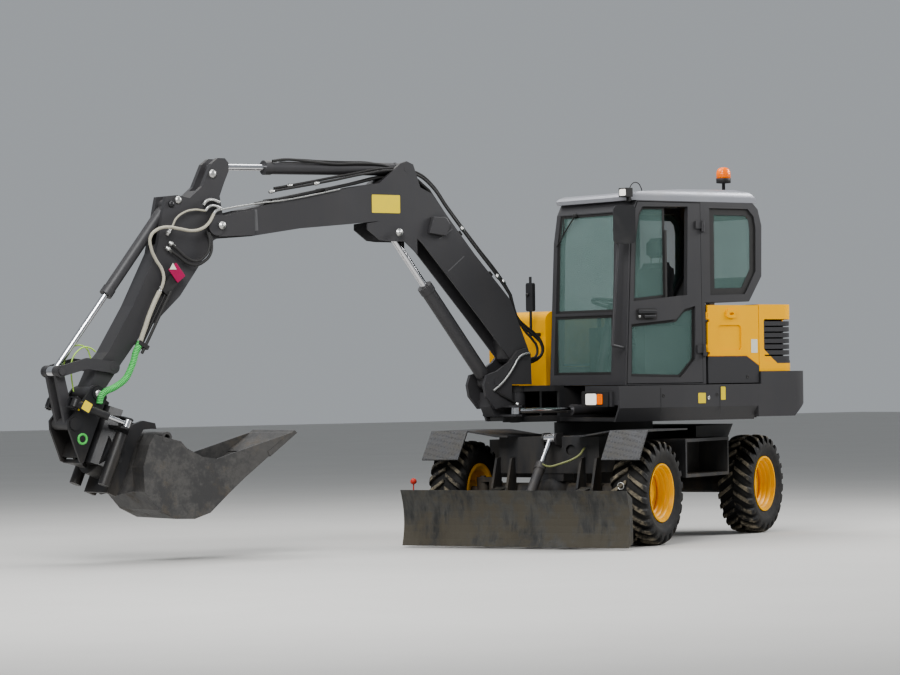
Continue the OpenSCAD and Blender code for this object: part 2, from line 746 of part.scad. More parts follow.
module cab_frame() {
    color(charcoal) in_frame() {
        difference() {
            side_plate(cab_side, cab_right, cab_left);
            side_plate(cab_side_in, cab_right + cab_wall, cab_left - cab_wall);
            // front window, over the lower pane and the sill
            translate([200, -20, 1330]) cube([400, 737, 1282]);
            // door opening
            side_plate([[462, cab_floor + 20], [402, 2390], [366, 2620], [340, roof_low - 20],
                [-290, roof_low - 20],
                [-296, cab_floor + 20]], cab_left - cab_wall - 20, cab_left + 1);
            side_plate(door_opening, cab_left - door_t - 5, cab_left + 1);
            // rear quarter windows and the right window
            side_plate(quarter_window, cab_right - 1, cab_left + 1);
            side_plate([[380, 1400], [350, 2380], [320, 2610], [-330, 2650], [-330, 1400]],
                cab_right - 1, cab_right + cab_wall + 1);
            // rear window
            translate([-1000, cab_right + 90, 2010]) cube([120, cab_left - cab_right - 180, 600]);
        }
        // bar between the front panes
        translate([440, -20, 1800]) cube([24, 737, 24]);
        // hinge lugs and pins of the cab door
        for (z = door_knuckles) {
            difference() {
                translate([door_hinge[0], door_hinge[1], z - 24]) {
                    cylinder(h = 24 - seat_gap, r = 14);
                    translate([-26, -16, 0]) cube([26, 20, 24 - seat_gap]);
                }
                translate([-308, 850, z - 30]) cube([60, 50, 40]);
            }
            translate([door_hinge[0], door_hinge[1], z - 20]) cylinder(h = 84, r = 8);
        }
        // lugs and pins of the service door
        for (z = service_knuckles)
            translate([service_hinge[0], service_hinge[1], z - 16]) {
                cylinder(h = 16 - seat_gap, r = 9);
                translate([0, -9, 0]) cube([18, 16, 16 - seat_gap]);
                cylinder(h = 72, r = 5);
            }
    }
}

// Roof lid: its side outline, rounded along both long edges
roof_round = 70;
roof_mid = (cab_left + cab_right) / 2;
roof_w = cab_left - cab_right - 8;

module cab_roof() {
    color("dimgray") in_frame() difference() {
        intersection() {
            side_plate([[395, roof_low + seat_gap], [404, roof_low + 30], [380, 2752], [320, 2770],
                [-100, 2797],
                [-700, 2806], [-830, 2784], [-892, 2738], [-900, roof_low + seat_gap]], cab_right, cab_left);
            translate([-1000, roof_mid, 2806 - 150]) rotate([90, 0, 90]) linear_extrude(1500)
                round_plate(roof_w, 300, roof_round);
        }
        side_plate([[330, roof_low], [330, roof_low + 20], [300, 2740], [-100, 2766], [-700, 2776],
            [-800, 2740], [-840, roof_low]], cab_right + cab_wall, cab_left - cab_wall);
    }
}

module cab_glass() {
    color(glass) in_frame() {
        translate([447, seat_gap - 20, 1330 + seat_gap])
            cube([glass_t, 737 - 2 * seat_gap, 470 - 2 * seat_gap]);
        difference() {
            translate([0, seat_gap - 20, 1824 + seat_gap]) rotate([90, 0, 90]) linear_extrude(600)
                square([737 - 2 * seat_gap, 788 - 2 * seat_gap]);
            side_plate([[432, 1800], [432 - 22, 2390], [376, 2620], [376, 2700], [0, 2700], [-10, 1800]],
                -30, 800);
            side_plate([[432 + glass_t, 1800], [432 - 22 + glass_t, 2390], [376 + glass_t, 2620],
                [376, 2700], [700, 2700], [700, 1800]], -30, 800);
        }
        for (y = [cab_left - 20, cab_right + 20])
            side_plate([for (p = quarter_window) p * 0.998 + [-1, 4]], y, y + glass_t);
        side_plate([[378, 1402], [348, 2380], [318, 2608], [-328, 2648], [-328, 1402]], cab_right + 20,
            cab_right + 20 + glass_t);
        translate([-925, cab_right + 90 + seat_gap, 2010 + seat_gap])
            cube([glass_t, cab_left - cab_right - 180 - 2 * seat_gap, 600 - 2 * seat_gap]);
    }
}

module door_frame() {
    color(charcoal) in_frame() difference() {
        union() {
            side_plate(door_outline, cab_left - door_t, cab_left + 3);
            for (z = door_knuckles)
                translate([door_hinge[0], door_hinge[1], z]) {
                    cylinder(h = 60, r = 14);
                    translate([0, -14, 0]) cube([70, 14, 60]);
                }
        }
        side_plate(door_upper, cab_left - 80, cab_left + 10);
        side_plate(door_lower, cab_left - 80, cab_left + 10);
        for (z = door_knuckles)
            translate([door_hinge[0], door_hinge[1], z - 1]) cylinder(h = 62, r = 8 + run_gap);
    }
}

module door_glass() {
    color(glass) in_frame() {
        side_plate(door_lower, cab_left - 24, cab_left - 24 + glass_t);
        side_plate([[394, 1906], [371, 2389], [329, 2599], [289, 2649], [60, 2653], [60, 1937]],
            cab_left - 24, cab_left - 24 + glass_t);
    }
}

module seat() {
    color("dimgray") in_frame() translate([-270, 415, 0]) {
        translate([20, -200, cab_floor + 50]) cube([400, 400, 270]);
        translate([0, -240, cab_floor + 312]) cube([460, 480, 130]);
        side_plate([[-10, 1620], [130, 1620], [90, 2250], [-10, 2250]], -220, 220);
        side_plate([[-5, 2240], [85, 2240], [70, 2440], [0, 2440]], -120, 120);
    }
}

module cab_controls() {
    color(black) in_frame() {
        // floor plate and pedals
        translate([-295, 0, cab_floor + 41]) cube([700, 820, 8]);
        // side consoles
        for (y = [60, 660])
            translate([-285, y, cab_floor + 45]) cube([465, 110, 420]);
        // joysticks
        for (y = [115, 715])
            translate([120, y, cab_floor + 470]) cylinder(h = 130, r = 16);
        // steering column and wheel
        translate([355, 415, cab_floor + 54]) rotate([0, -14, 0]) {
            cylinder(h = 610, r = 45);
            translate([0, 0, 610]) rotate_extrude() translate([170, 0]) circle(r = 14);
            for (a = [0, 120, 240]) rotate([0, 0, a]) translate([0, -12, 598]) cube([170, 24, 14]);
        }
    }
}

module mirrors() {
    color(black) in_frame() {
        // left mirror on its arm
        translate([545, cab_left + 85, 2500]) rotate([0, 0, 60]) rotate([90, 0, 90]) translate([0, 0, -20])
            linear_extrude(40) round_plate(170, 300, 34);
        translate([420.4, cab_left - 40, 2450]) cube([140, 24, 24]);
        translate([537, cab_left - 40, 2450]) cube([24, 120, 24]);
        // right mirror on its tube
        translate([480 + seat_gap, cab_right - 150, 1650]) cube([100, 26, 26]);
        translate([570, cab_right - 137, 1650]) cylinder(h = 480, r = 11);
        translate([556, cab_right - 137, 1965]) rotate([90, 0, 90]) linear_extrude(28)
            round_plate(90, 230, 18);
    }
}

// Grab rail beside the front window, on two stand-offs
rail = [[522, cab_left - 20, 2405], [548, cab_left - 20, 2150], [596, cab_left - 20, 1560]];
rail_r = 11;

module handrails() {
    color(black) in_frame() {
        pipe([[429.5, cab_left - 20, 2395], rail[0], rail[1], rail[2], [486, cab_left - 20, 1540]], rail_r);
    }
}

module lamps() {
    color("orange") in_frame() {
        translate([-702, 720, 2806]) cylinder(h = 60, r = 12);
        translate([-702, 720, 2866]) cylinder(h = 130, r = 62);
    }
    color("white") in_frame() {
        // work lamp on the roof corner
        translate([420, cab_left - 60, 2722]) cube([60, 100, 70]);
        translate([404 + seat_gap, cab_left - 30, 2690]) cube([24, 30, 40]);
        // head lamp
        translate([deck_front + 26, 530, 1090]) cube([8, 150, 90]);
    }
}

// Swing post

swing_eye = [post_x + swing_eye_x, swing_eye_y];
swing_base = [-150, 320];
swing_z = 1054;
nose_t = 46;
nose_low = 962;
nose_high = 1204;
post_low = nose_low + nose_t + 0.3;
post_high = nose_high - 0.3;
// Inside faces and thickness of the post's ears
ear_y = boom_half + side_gap;
ear_w = 30;

module swing_post() {
    color(charcoal) in_frame() {
        difference() {
            union() {
                translate([post_x, 0, post_low]) cylinder(h = post_high - post_low, r = 88);
                // body ahead of the kingpin
                side_plate([[post_x, post_low], [post_x + 250, post_low], [1190, 1090], [1190, 1200],
                    [post_x + 118, 1200], [post_x, post_high]], -72, 72);
                // ears
                for (s = [0, 1]) mirror([0, s, 0])
                    side_plate([[post_x + 118, 1100], [1180, 1070], [1272, 1170], [1290, 1260],
                        [1262, 1340], [1160, 1368], [1040, 1440], [foot_x + 62, foot_z + 42],
                        [foot_x - 20, foot_z + 62], [foot_x - 64, foot_z + 20], [foot_x - 70, 1262],
                        [post_x + 118, 1262]], ear_y, ear_y + ear_w);
                // webs between the ears
                side_plate([[post_x - 40, 1262], [1080, 1262], [1070, 1330], [960, 1372],
                    [post_x - 40, 1372]], -ear_y - 1, ear_y + 1);
                side_plate([[post_x + 118, 1100], [1180, 1075], [1190, 1130], [1110, 1200], [1080, 1262],
                    [post_x + 118, 1262]], -ear_y - 1, ear_y + 1);
                // lugs of the swing cylinder's eye
                for (z = [post_low + 2, swing_z + 28])
                    translate([0, 0, z]) linear_extrude(15)
                        polygon([[post_x, -60], [post_x + 180, -60], [swing_eye[0] + 46, swing_eye[1] - 20],
                            [swing_eye[0] + 30, swing_eye[1] + 40], [swing_eye[0] - 30, swing_eye[1] + 40],
                            [post_x - 30, 80]]);
            }
            translate([post_x, 0, 900]) cylinder(h = 400, r = post_pin_r - 2);
            cross_boss(foot, pin_r + run_gap, -200, 200);
        }
        // kingpin and the pin of the lift cylinder
        translate([post_x, 0, nose_low - 4]) cylinder(h = nose_high + nose_t - nose_low + 8, r = post_pin_r);
        cross_boss(boom_base, pin_r, -ear_y - ear_w - 8, ear_y + ear_w + 8);
    }
}

// Direction and length of the swing cylinder, which lies flat
swing_angle = angle2(swing_eye - swing_base);
swing_len = length2(swing_eye - swing_base);

module swing_barrel() {
    color(black) in_frame() translate([swing_base[0], swing_base[1], swing_z]) rotate([0, 0, swing_angle])
        difference() {
            union() {
                translate([0, 0, -30]) cylinder(h = 60, r = 48);
                translate([0, -28, -28]) cube([80, 56, 56]);
                translate([72, 0, 0]) rotate([0, 90, 0]) cylinder(h = 628, r = 40);
                translate([640, 0, 0]) rotate([0, 90, 0]) cylinder(h = 60, r = 44);
            }
            translate([0, 0, -41]) cylinder(h = 82, r = pin_r + run_gap);
            translate([80, 0, 0]) rotate([0, 90, 0]) cylinder(h = 700, r = 22 + run_gap);
        }
}

module swing_rod() {
    color(chrome) in_frame() translate([swing_base[0], swing_base[1], swing_z]) rotate([0, 0, swing_angle]) {
        translate([460, 0, 0]) rotate([0, 90, 0]) cylinder(h = swing_len - 480, r = 22);
        translate([swing_len, 0, -26]) cylinder(h = 52, r = 38);
    }
}

// Boom

// Outline of the boom from the left: upper edge from the foot to the nose, then back below
boom_outline = [[810, 1500], [995, 1930], [1344, 2292], [1600, 2583], [1751, 2762], [1920, 2834],
    [2089, 2854], [2441, 2804], [2982, 2700], [3442, 2611], [3660, 2560], [3790, 2520], [3800, 2440],
    [3608, 2391], [3425, 2404], [2986, 2470], [2511, 2512], [2279, 2536], [2128, 2542], [1994, 2493],
    [1843, 2370], [1318, 1806], [990, 1445], [892, 1405], [826, 1440]];
// The hollow inside the box
boom_hollow = [[1010, 1900], [1360, 2270], [1612, 2560], [1762, 2736], [1926, 2810], [2086, 2828],
    [2436, 2778], [2976, 2674], [3400, 2590], [3400, 2432], [2990, 2494], [2514, 2536], [2283, 2560],
    [2118, 2566], [1980, 2516], [1828, 2392], [1302, 1826], [1060, 1590]];

// The belly plate is set in over the lift cylinder
belly_shift = polar(132, belly_inset);
boom_core = [[2570, 2440], [2570, 2506], [2290, 2534], [2250, 2640], [1940, 2540],
    [1843, 2370] + belly_shift, [1318, 1806] + belly_shift, [1120, 1590] + belly_shift * 0.8,
    [1010, 1467], [900, 1340], [1500, 1500], [2200, 2200]];

module boom() {
    color(charcoal) in_frame() {
        difference() {
            union() {
                side_plate(boom_outline, -boom_half, boom_half);
                // lugs of the lift cylinder
                side_plate([[2363, 2520], [2363, 2473], [2247, 2392], [2160, 2384], [2012, 2384],
                    [1895, 2290], [1895, 2430], [2000, 2520], [2100, 2560]], -boom_half, boom_half);
                // bracket of the arm cylinder
                side_plate([[1860, 2810], [1925, 2985], [1985, 3008], [2045, 2990], [2260, 2820]],
                    -boom_half, boom_half);
                cross_boss(foot, 80, -boom_half, boom_half);
                cross_boss(arm_pivot, 70, -boom_half - 28, boom_half + 28);
            }
            side_plate(boom_hollow, plate_t - boom_half, boom_half - plate_t);
            side_plate(boom_core, plate_t - boom_half, boom_half - plate_t);
            // fork over the arm
            side_plate([[3480, 2300], [3480, 2620], [3900, 2620], [3900, 2300]], -fork_in, fork_in);
            // slot of the arm cylinder's base
            side_plate([[1800, 2862], [1800, 3100], [2500, 3100], [2500, 2862]], -62, 62);
        }
        // cheeks of the fork, outside the arm
        for (s = [0, 1]) mirror([0, s, 0])
            side_plate([[3400, 2606], [3660, 2556], [3760, 2560], [3806, 2500], [3790, 2430],
                [3700, 2398], [3400, 2412]], fork_in, boom_half + 22);
        for (p = [foot, arm_base])
            cross_boss(p, pin_r, -boom_half - 1, boom_half + 1);
        cross_boss(foot, pin_r, -ear_y - ear_w - 6, ear_y + ear_w + 6);
        cross_boss(arm_pivot, pin_r, -boom_half - 28, boom_half + 28);
    }
}

// Half width of the fork that holds the arm
fork_in = arm_half + side_gap;

// Route of the hoses along the boom's back, as [x, z], in clamps across the boom
hose_r = 11;
hose_route = [[1005, 1966], [1334, 2306], [1588, 2598], [1742, 2790], [1866, 2880], [2216, 2880],
    [2441, 2827], [2982, 2720], [3300, 2658]];
hose_list = [-42, -14, 14, 42];
clamp_list = [[1173, 2132, 46], [1465.5, 2448.5, 49], [2709.5, 2764.6, -11], [3188.5, 2672.2, -11]];

module boom_hoses() {
    color(rubber) in_frame() {
        for (y = hose_list)
            pipe([for (p = hose_route) [p[0], y, p[1]]], hose_r);
        for (c = clamp_list)
            translate([c[0], 0, c[1]]) rotate([0, -c[2], 0]) translate([-20, -64, seat_gap - 12])
                cube([40, 128, 34]);
    }
}

module boom_barrel() {
    color(charcoal) in_frame() barrel(boom_base, boom_lug, 56, 60, 80, 56, 968, 28);
}

module boom_rod() {
    color(chrome) in_frame() piston_rod(boom_base, boom_lug, 46, 60, 28, 640);
}

module arm_barrel() {
    color(charcoal) in_frame() barrel(arm_base, arm_lug, 50, 60, 76, 50, 1262, 25);
}

module arm_rod() {
    color(chrome) in_frame() piston_rod(arm_base, arm_lug, 44, 44, 25, 640);
}

// Arm

arm_outline = [[3700, 2985], [3640, 2985], [3608, 2950], [3608, 2890], [3650, 2800], [3690, 2700],
    [3650, 2480],
    [3680, 2400], [3746, 2370],
    [3889, 2161], [4044, 1953], [4248, 1769], [4386, 1661], [4550, 1458], [4728, 1220], [4790, 1184],
    [4836, 1228], [4815, 1300], [4734, 1460], [4659, 1540], [4445, 1880], [4241, 2270], [4175, 2600],
    [4155, 2690], [4060, 2700], [3950, 2680], [3840, 2770], [3760, 2940]];
arm_hollow = [[3830, 2560], [3770, 2420], [3905, 2178], [4058, 1975], [4260, 1790], [4400, 1680],
    [4560, 1482],
    [4620, 1400], [4630, 1490], [4425, 1850], [4218, 2262], [4140, 2540], [4000, 2560]];

module arm() {
    color(charcoal) in_frame() {
        difference() {
            union() {
                side_plate(arm_outline, -arm_half, arm_half);
                cross_boss(bucket_pin, 62, -hitch_in + 0.3, hitch_in - 0.3);
            }
            side_plate(arm_hollow, plate_t - arm_half, arm_half - plate_t);
            cross_boss(arm_pivot, pin_r + run_gap, -200, 200);
            cross_boss(bucket_pin, pin_r + run_gap, -200, 200);
            // slots of the two cylinders
            side_plate([[3500, 2740], [3500, 3100], [3900, 3100], [3900, 2740]], -46, 46);
            side_plate([[4030, 2520], [4000, 2800], [4400, 2800], [4400, 2250], [4230, 2300]], -46, 46);
        }
        cross_boss(bucket_base, pin_r, -arm_half, arm_half);
        cross_boss(link_on_arm, pin_r, -link_y - link_t - 2, link_y + link_t + 2);
    }
}

module bucket_barrel() {
    color(charcoal) in_frame() barrel(bucket_base, link_pin, 44, 44, 64, 44, 843, 24);
}

module bucket_rod() {
    color(chrome) in_frame() piston_rod(bucket_base, link_pin, 40, 42, 24, 765);
}

// Valve block on the left of the arm, and the hoses down to the tool, as [x, y, z]
valve_at = [4140, arm_half + seat_gap, 2060];
valve_size = [78, 60, 190];
tool_hoses = [[[4176, 124, 1990], [4252, 128, 1860], [4372, 132, 1650], [4436, 134, 1540]],
    [[4160, 150, 1985], [4236, 152, 1850], [4352, 154, 1640], [4414, 154, 1530]]];

module arm_hoses() {
    color(rubber) in_frame() {
        translate(valve_at) rotate([0, -42, 0]) translate([-39, 0, -110]) cube(valve_size);
        for (route = tool_hoses)
            pipe(route, hose_r);
        // clamp at the lower end
        translate([4400, arm_half + seat_gap, 1590]) rotate([0, -30, 0])
            translate([-44, 0, -15]) cube([88, 80, 30]);
    }
}

// Link plates beside the arm, and hitch plates outside them
link_y = arm_half + side_gap + 2;
link_t = 26;
hitch_in = link_y + link_t + 8;
hitch_t = 24;

module link_arms() {
    color(charcoal) in_frame() {
        for (s = [0, 1]) mirror([0, s, 0]) {
            difference() {
                union() {
                    side_plate([[link_on_arm[0], link_on_arm[1] + 44], [4850, 1500],
                        [link_pin[0], link_pin[1] + 40], [link_pin[0], link_pin[1] - 40],
                        [4850, 1420], [link_on_arm[0], link_on_arm[1] - 44]], link_y, link_y + link_t);
                    cross_boss(link_on_arm, 48, link_y, link_y + link_t);
                    cross_boss(link_pin, 44, link_y, link_y + link_t);
                }
                cross_boss(link_on_arm, pin_r + run_gap, link_y - 1, link_y + link_t + 1);
            }
            cross_boss(link_pin, pin_r, link_y, link_y + link_t + 14);
        }
    }
}

module bucket_link() {
    color(charcoal) in_frame() difference() {
        union() {
            for (s = [0, 1]) mirror([0, s, 0]) {
                side_plate([link_pin + [38, 10], link_pin - [38, 10], hitch_pin - [42, 0],
                    hitch_pin + [42, 0]], 46, 80);
                cross_boss(link_pin, 42, 46, link_y - 2);
            }
            cross_boss(hitch_pin, 44, 0.3 - hitch_in, hitch_in - 0.3);
        }
        cross_boss(hitch_pin, pin_r + run_gap, -200, 200);
    }
}

// Tool head

// Distances past the bucket pin along the turning axis, and along the coupler
tilt_past = 125;
rotor_along = 360;
coupler_past = 330;
tilt_shaft_r = 34;
// Tilt cylinders, as [distance past the pin, distance to the left]
tilt_base = [-165, 186];
tilt_eye = [228, 300];
tilt_cyl_along = 145;

// Moves a piece to a point of the tool head; its z axis then points away from the arm
module at_tool(past, along) {
    translate([tool_point(past, along)[0], 0, tool_point(past, along)[1]])
        rotate([0, 90 - tool_angle, 0]) children();
}

// A flat plate of the tool head across its length, as [past the pin, left] points
module tool_plate(outline, along, t) {
    at_tool(0, along) rotate([0, -90, 0]) linear_extrude(t, center = true) polygon(outline);
}

module tilt_bracket() {
    color(black) in_frame() {
        for (s = [0, 1]) mirror([0, s, 0]) {
            // hitch plates
            side_plate([bucket_pin + [-58, 30], bucket_pin + [0, 62], bucket_pin + [50, 40],
                hitch_pin + [54, 24], hitch_pin + [50, -40], tool_point(20, 480), tool_point(50, 512),
                tool_point(80, 512), tool_point(80, 0)], hitch_in, hitch_in + hitch_t);
            cross_boss(bucket_pin, 48, hitch_in, hitch_in + hitch_t + 10);
            cross_boss(hitch_pin, 46, hitch_in, hitch_in + hitch_t + 10);
            // ears of the tilt cylinders
            for (k = [-1, 1])
                tool_plate([[tilt_base[0] - 36, hitch_in + hitch_t + 4],
                    [tilt_base[0] - 20, tilt_base[1] + 24],
                    [tilt_base[0] + 20, tilt_base[1] + 24], [tilt_base[0] + 60, hitch_in + hitch_t - 4],
                    [tilt_base[0] + 40, hitch_in + 2], [tilt_base[0] - 10, hitch_in + 2]],
                    tilt_cyl_along + k * 37, 12);
            side_plate([tool_point(tilt_base[0] - 36, tilt_cyl_along - 39),
                tool_point(tilt_base[0] - 36, tilt_cyl_along + 39),
                tool_point(0, tilt_cyl_along + 60), tool_point(0, tilt_cyl_along - 60)], hitch_in,
                    hitch_in + hitch_t);
        }
        for (s = [-1, 1])
            at_tool(tilt_base[0], tilt_cyl_along) translate([0, s * tilt_base[1], 0]) rotate([0, 90, 0])
                translate([0, 0, -50]) cylinder(h = 100, r = 17);
        // bridge under the plates, and the ends of the tilt shaft
        side_plate([tool_point(40, 72), tool_point(62, 72), tool_point(62, 480), tool_point(40, 480)],
            -hitch_in - hitch_t, hitch_in + hitch_t);
        for (c = [14, 500])
            tool_plate([[72, -140], [72, 140], [tilt_past, 62], [tilt_past + 50, 30], [tilt_past + 50, -30],
                [tilt_past, -62]], c, 28);
        at_tool(tilt_past, 0) rotate([0, -90, 0]) cylinder(h = 514, r = tilt_shaft_r);
        for (p = [bucket_pin, hitch_pin])
            cross_boss(p, pin_r, -hitch_in - hitch_t - 10, hitch_in + hitch_t + 10);
    }
}

module rotor_housing() {
    color(black) in_frame() {
        difference() {
            union() {
                // tilting cradle
                tool_plate([[96, -50], [96, 50], [150, 110], [230, 170], [230, -170], [150, -110]], 257,
                    440);
                at_tool(tilt_past, 37) rotate([0, -90, 0]) cylinder(h = 440, r = 56);
                // wings of the tilt cylinders
                for (s = [0, 1]) mirror([0, s, 0])
                    for (k = [-1, 1])
                        tool_plate([[170, 140], [tilt_eye[0] - 36, 290], [tilt_eye[0], 336],
                            [tilt_eye[0] + 34, 310], [tilt_eye[0] + 10, 140]], tilt_cyl_along + k * 37, 12);
                // rotor body
                at_tool(200, rotor_along) cylinder(h = coupler_past - 200.3, r = 185);
                // worm gear tubes
                for (s = [-1, 1])
                    at_tool(262, 210) translate([0, s * 210, 0]) rotate([0, -90, 0])
                        cylinder(h = 400, r = 44);
            }
            at_tool(tilt_past, -20) rotate([0, -90, 0]) cylinder(h = 600, r = tilt_shaft_r + run_gap);
        }
        at_tool(300, rotor_along) cylinder(h = 70, r = 60);
    }
}

module tilt_cylinder_frame(side) {
    at_tool(0, tilt_cyl_along) mirror([0, side > 0 ? 0 : 1, 0])
        translate([0, tilt_base[1], tilt_base[0]]) rotate([-angle2(tilt_eye - tilt_base), 0, 0]) children();
}

tilt_len = length2(tilt_eye - tilt_base);

module tilt_barrel(side) {
    color(black) in_frame() tilt_cylinder_frame(side) difference() {
        union() {
            rotate([0, 90, 0]) translate([0, 0, -29]) cylinder(h = 58, r = 32);
            cylinder(h = 262, r = 28);
            translate([0, 0, 232]) cylinder(h = 30, r = 30);
        }
        rotate([0, 90, 0]) translate([0, 0, -30]) cylinder(h = 60, r = 17 + run_gap);
        translate([0, 0, 45]) cylinder(h = 260, r = 15 + run_gap);
    }
}

module tilt_rod(side) {
    color(chrome) in_frame() tilt_cylinder_frame(side) {
        translate([0, 0, 150]) cylinder(h = tilt_len - 165, r = 15);
        translate([0, 0, tilt_len]) rotate([0, 90, 0]) translate([0, 0, -29]) cylinder(h = 58, r = 28);
    }
}

module tilt_barrel_left() tilt_barrel(1);
module tilt_rod_left() tilt_rod(1);
module tilt_barrel_right() tilt_barrel(-1);
module tilt_rod_right() tilt_rod(-1);

module coupler() {
    color(black) in_frame() difference() {
        union() {
            at_tool(coupler_past, rotor_along) cylinder(h = 30, r = 175);
            for (s = [0, 1]) mirror([0, s, 0])
                side_plate([tool_point(coupler_past, 150), tool_point(coupler_past + 20, 100),
                    tool_point(415, 45), tool_point(515, 25), tool_point(540, 60), tool_point(500, 75),
                    tool_point(440, 105), tool_point(425, 200), tool_point(425, 560), tool_point(410, 640),
                    tool_point(coupler_past, 640)], coupler_half - 40, coupler_half);
            side_plate([tool_point(coupler_past, 150), tool_point(coupler_past + 22, 150),
                tool_point(coupler_past + 22, 640), tool_point(coupler_past, 640)], -coupler_half,
                    coupler_half);
        }
        at_tool(coupler_past - 10, rotor_along) cylinder(h = 60, r = 60 + run_gap);
    }
}

// Section of the bucket: the back and floor outside, then the same inside
bucket_back = [[4395, 938], [4442, 860], [4492, 700], [4481, 520], [4360, 385], [4214, 315], [4060, 310],
    [3926, 351],
    [3759, 493], [3629, 596], [3182, 920]];
bucket_mouth = [[3182, 934], [3863, 747], [3988, 764], [4120, 830], [4171, 882]];
bucket_floor_in = [[4171, 1034], [4370, 960], [4428, 856], [4477, 698], [4466, 526], [4352, 398],
    [4214, 331], [4060, 326],
    [3930, 367], [3769, 506], [3640, 620], [3190, 946], [3182, 1034], [4100, 1034]];

module bucket() {
    color(steel) in_frame() {
        difference() {
            side_plate(concat(bucket_back, bucket_mouth), -bucket_w / 2, bucket_w / 2);
            side_plate(bucket_floor_in, bucket_t - bucket_w / 2, bucket_w / 2 - bucket_t);
        }
        // cutting edge
        side_plate([[3160, 924], [3182, 944], [3420, 790], [3400, 752]], -bucket_w / 2 - 4,
            bucket_w / 2 + 4);
        // tube along the upper edge, which the coupler's hooks hold
        difference() {
            cross_boss(tool_point(580, 108), 40, -2 - bucket_w / 2, bucket_w / 2 + 2);
            for (s = [0, 1]) mirror([0, s, 0])
                cross_boss(tool_point(580, 108), 22, bucket_w / 2 - 40, bucket_w / 2 + 4);
        }
        side_plate([tool_point(560, 130), tool_point(600, 130), tool_point(510, 170), tool_point(490, 150)],
            4 - bucket_w / 2, bucket_w / 2 - 4);
        // ears between the coupler's plates, with the rear pin
        for (s = [0, 1]) mirror([0, s, 0])
            side_plate([tool_point(470, 140), tool_point(430, 160), tool_point(372, 480),
                tool_point(372, 580),
                tool_point(440, 620), tool_point(560, 540), tool_point(480, 300)],
                coupler_half - 62, coupler_half - 40 - seat_gap);
        cross_boss(tool_point(385, 540), 24, 50 - coupler_half, coupler_half - 50);
    }
}

chassis_frame();
front_axle();
rear_axle();
front_fenders();
side_steps();
knuckle_left();
knuckle_right();
tyre_front_left();
tyre_front_right();
tyre_rear_left();
tyre_rear_right();
rim_front_left();
rim_front_right();
rim_rear_left();
rim_rear_right();
dozer_blade();
blade_barrel();
blade_rod();
revolving_frame();
side_skirts();
counterweight();
engine_block();
engine_hood();
service_door();
right_cover();
cab_frame();
cab_roof();
cab_glass();
door_frame();
door_glass();
seat();
cab_controls();
mirrors();
handrails();
lamps();
swing_post();
swing_barrel();
swing_rod();
boom();
boom_hoses();
boom_barrel();
boom_rod();
arm_barrel();
arm_rod();
arm();
arm_hoses();
bucket_barrel();
bucket_rod();
link_arms();
bucket_link();
tilt_bracket();
rotor_housing();
tilt_barrel_left();
tilt_rod_left();
tilt_barrel_right();
tilt_rod_right();
coupler();
bucket();
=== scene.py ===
"""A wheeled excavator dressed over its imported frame, piece by piece, as it is put together."""
import math

import bmesh
import bpy
from mathutils import Matrix, Vector


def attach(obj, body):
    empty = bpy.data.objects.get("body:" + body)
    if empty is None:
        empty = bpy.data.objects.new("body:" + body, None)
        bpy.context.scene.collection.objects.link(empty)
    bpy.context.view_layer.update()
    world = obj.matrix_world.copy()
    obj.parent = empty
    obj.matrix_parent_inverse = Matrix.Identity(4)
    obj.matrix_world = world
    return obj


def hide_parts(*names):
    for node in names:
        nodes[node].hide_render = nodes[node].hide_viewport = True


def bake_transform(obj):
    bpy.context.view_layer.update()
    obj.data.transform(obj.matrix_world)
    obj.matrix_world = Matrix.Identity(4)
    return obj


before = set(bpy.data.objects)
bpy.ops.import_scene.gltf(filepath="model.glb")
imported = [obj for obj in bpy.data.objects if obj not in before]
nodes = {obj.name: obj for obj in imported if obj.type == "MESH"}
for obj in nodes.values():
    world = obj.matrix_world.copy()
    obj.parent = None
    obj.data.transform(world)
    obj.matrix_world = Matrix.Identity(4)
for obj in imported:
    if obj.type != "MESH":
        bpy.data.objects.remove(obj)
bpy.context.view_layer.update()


# Camera, lights and floor.
# The camera stands ahead of the machine on its left, low and far off, with a long lens. Two large
# soft lamps and a pale surround stand for an overcast sky in a studio.
CAMERA_AT = Vector((14.9540, 20.9239, 1.3246))
CAMERA_AHEAD = Vector((-0.58344, -0.81207, 0.01216))
CAMERA_ROLL = math.radians(-0.745)
LENS_MM = 131.25

camera = bpy.data.objects.new("camera", bpy.data.cameras.new("camera"))
camera.data.lens = LENS_MM
camera.data.sensor_width = 36
camera.data.clip_end = 200
level_right = CAMERA_AHEAD.cross(Vector((0, 0, 1))).normalized()
level_up = level_right.cross(CAMERA_AHEAD)
right = level_right * math.cos(CAMERA_ROLL) + level_up * math.sin(CAMERA_ROLL)
up = right.cross(CAMERA_AHEAD)
camera.matrix_world = Matrix((
    (right.x, up.x, -CAMERA_AHEAD.x, CAMERA_AT.x),
    (right.y, up.y, -CAMERA_AHEAD.y, CAMERA_AT.y),
    (right.z, up.z, -CAMERA_AHEAD.z, CAMERA_AT.z),
    (0, 0, 0, 1)))
bpy.context.scene.collection.objects.link(camera)
bpy.context.scene.camera = camera

for lamp_name, at, power, size in (
        ("key_lamp", (7.0, 6.0, 7.5), 900, 5.0),
        ("back_lamp", (-8.0, 3.0, 6.0), 600, 4.0),
        ("top_lamp", (0.5, -2.0, 9.0), 600, 7.0)):
    lamp = bpy.data.objects.new(lamp_name, bpy.data.lights.new(lamp_name, "AREA"))
    lamp.data.energy = power
    lamp.data.size = size
    lamp.location = at
    lamp.rotation_euler = (Vector((0, 0, 1.2)) - Vector(at)).to_track_quat("-Z", "Y").to_euler()
    bpy.context.scene.collection.objects.link(lamp)

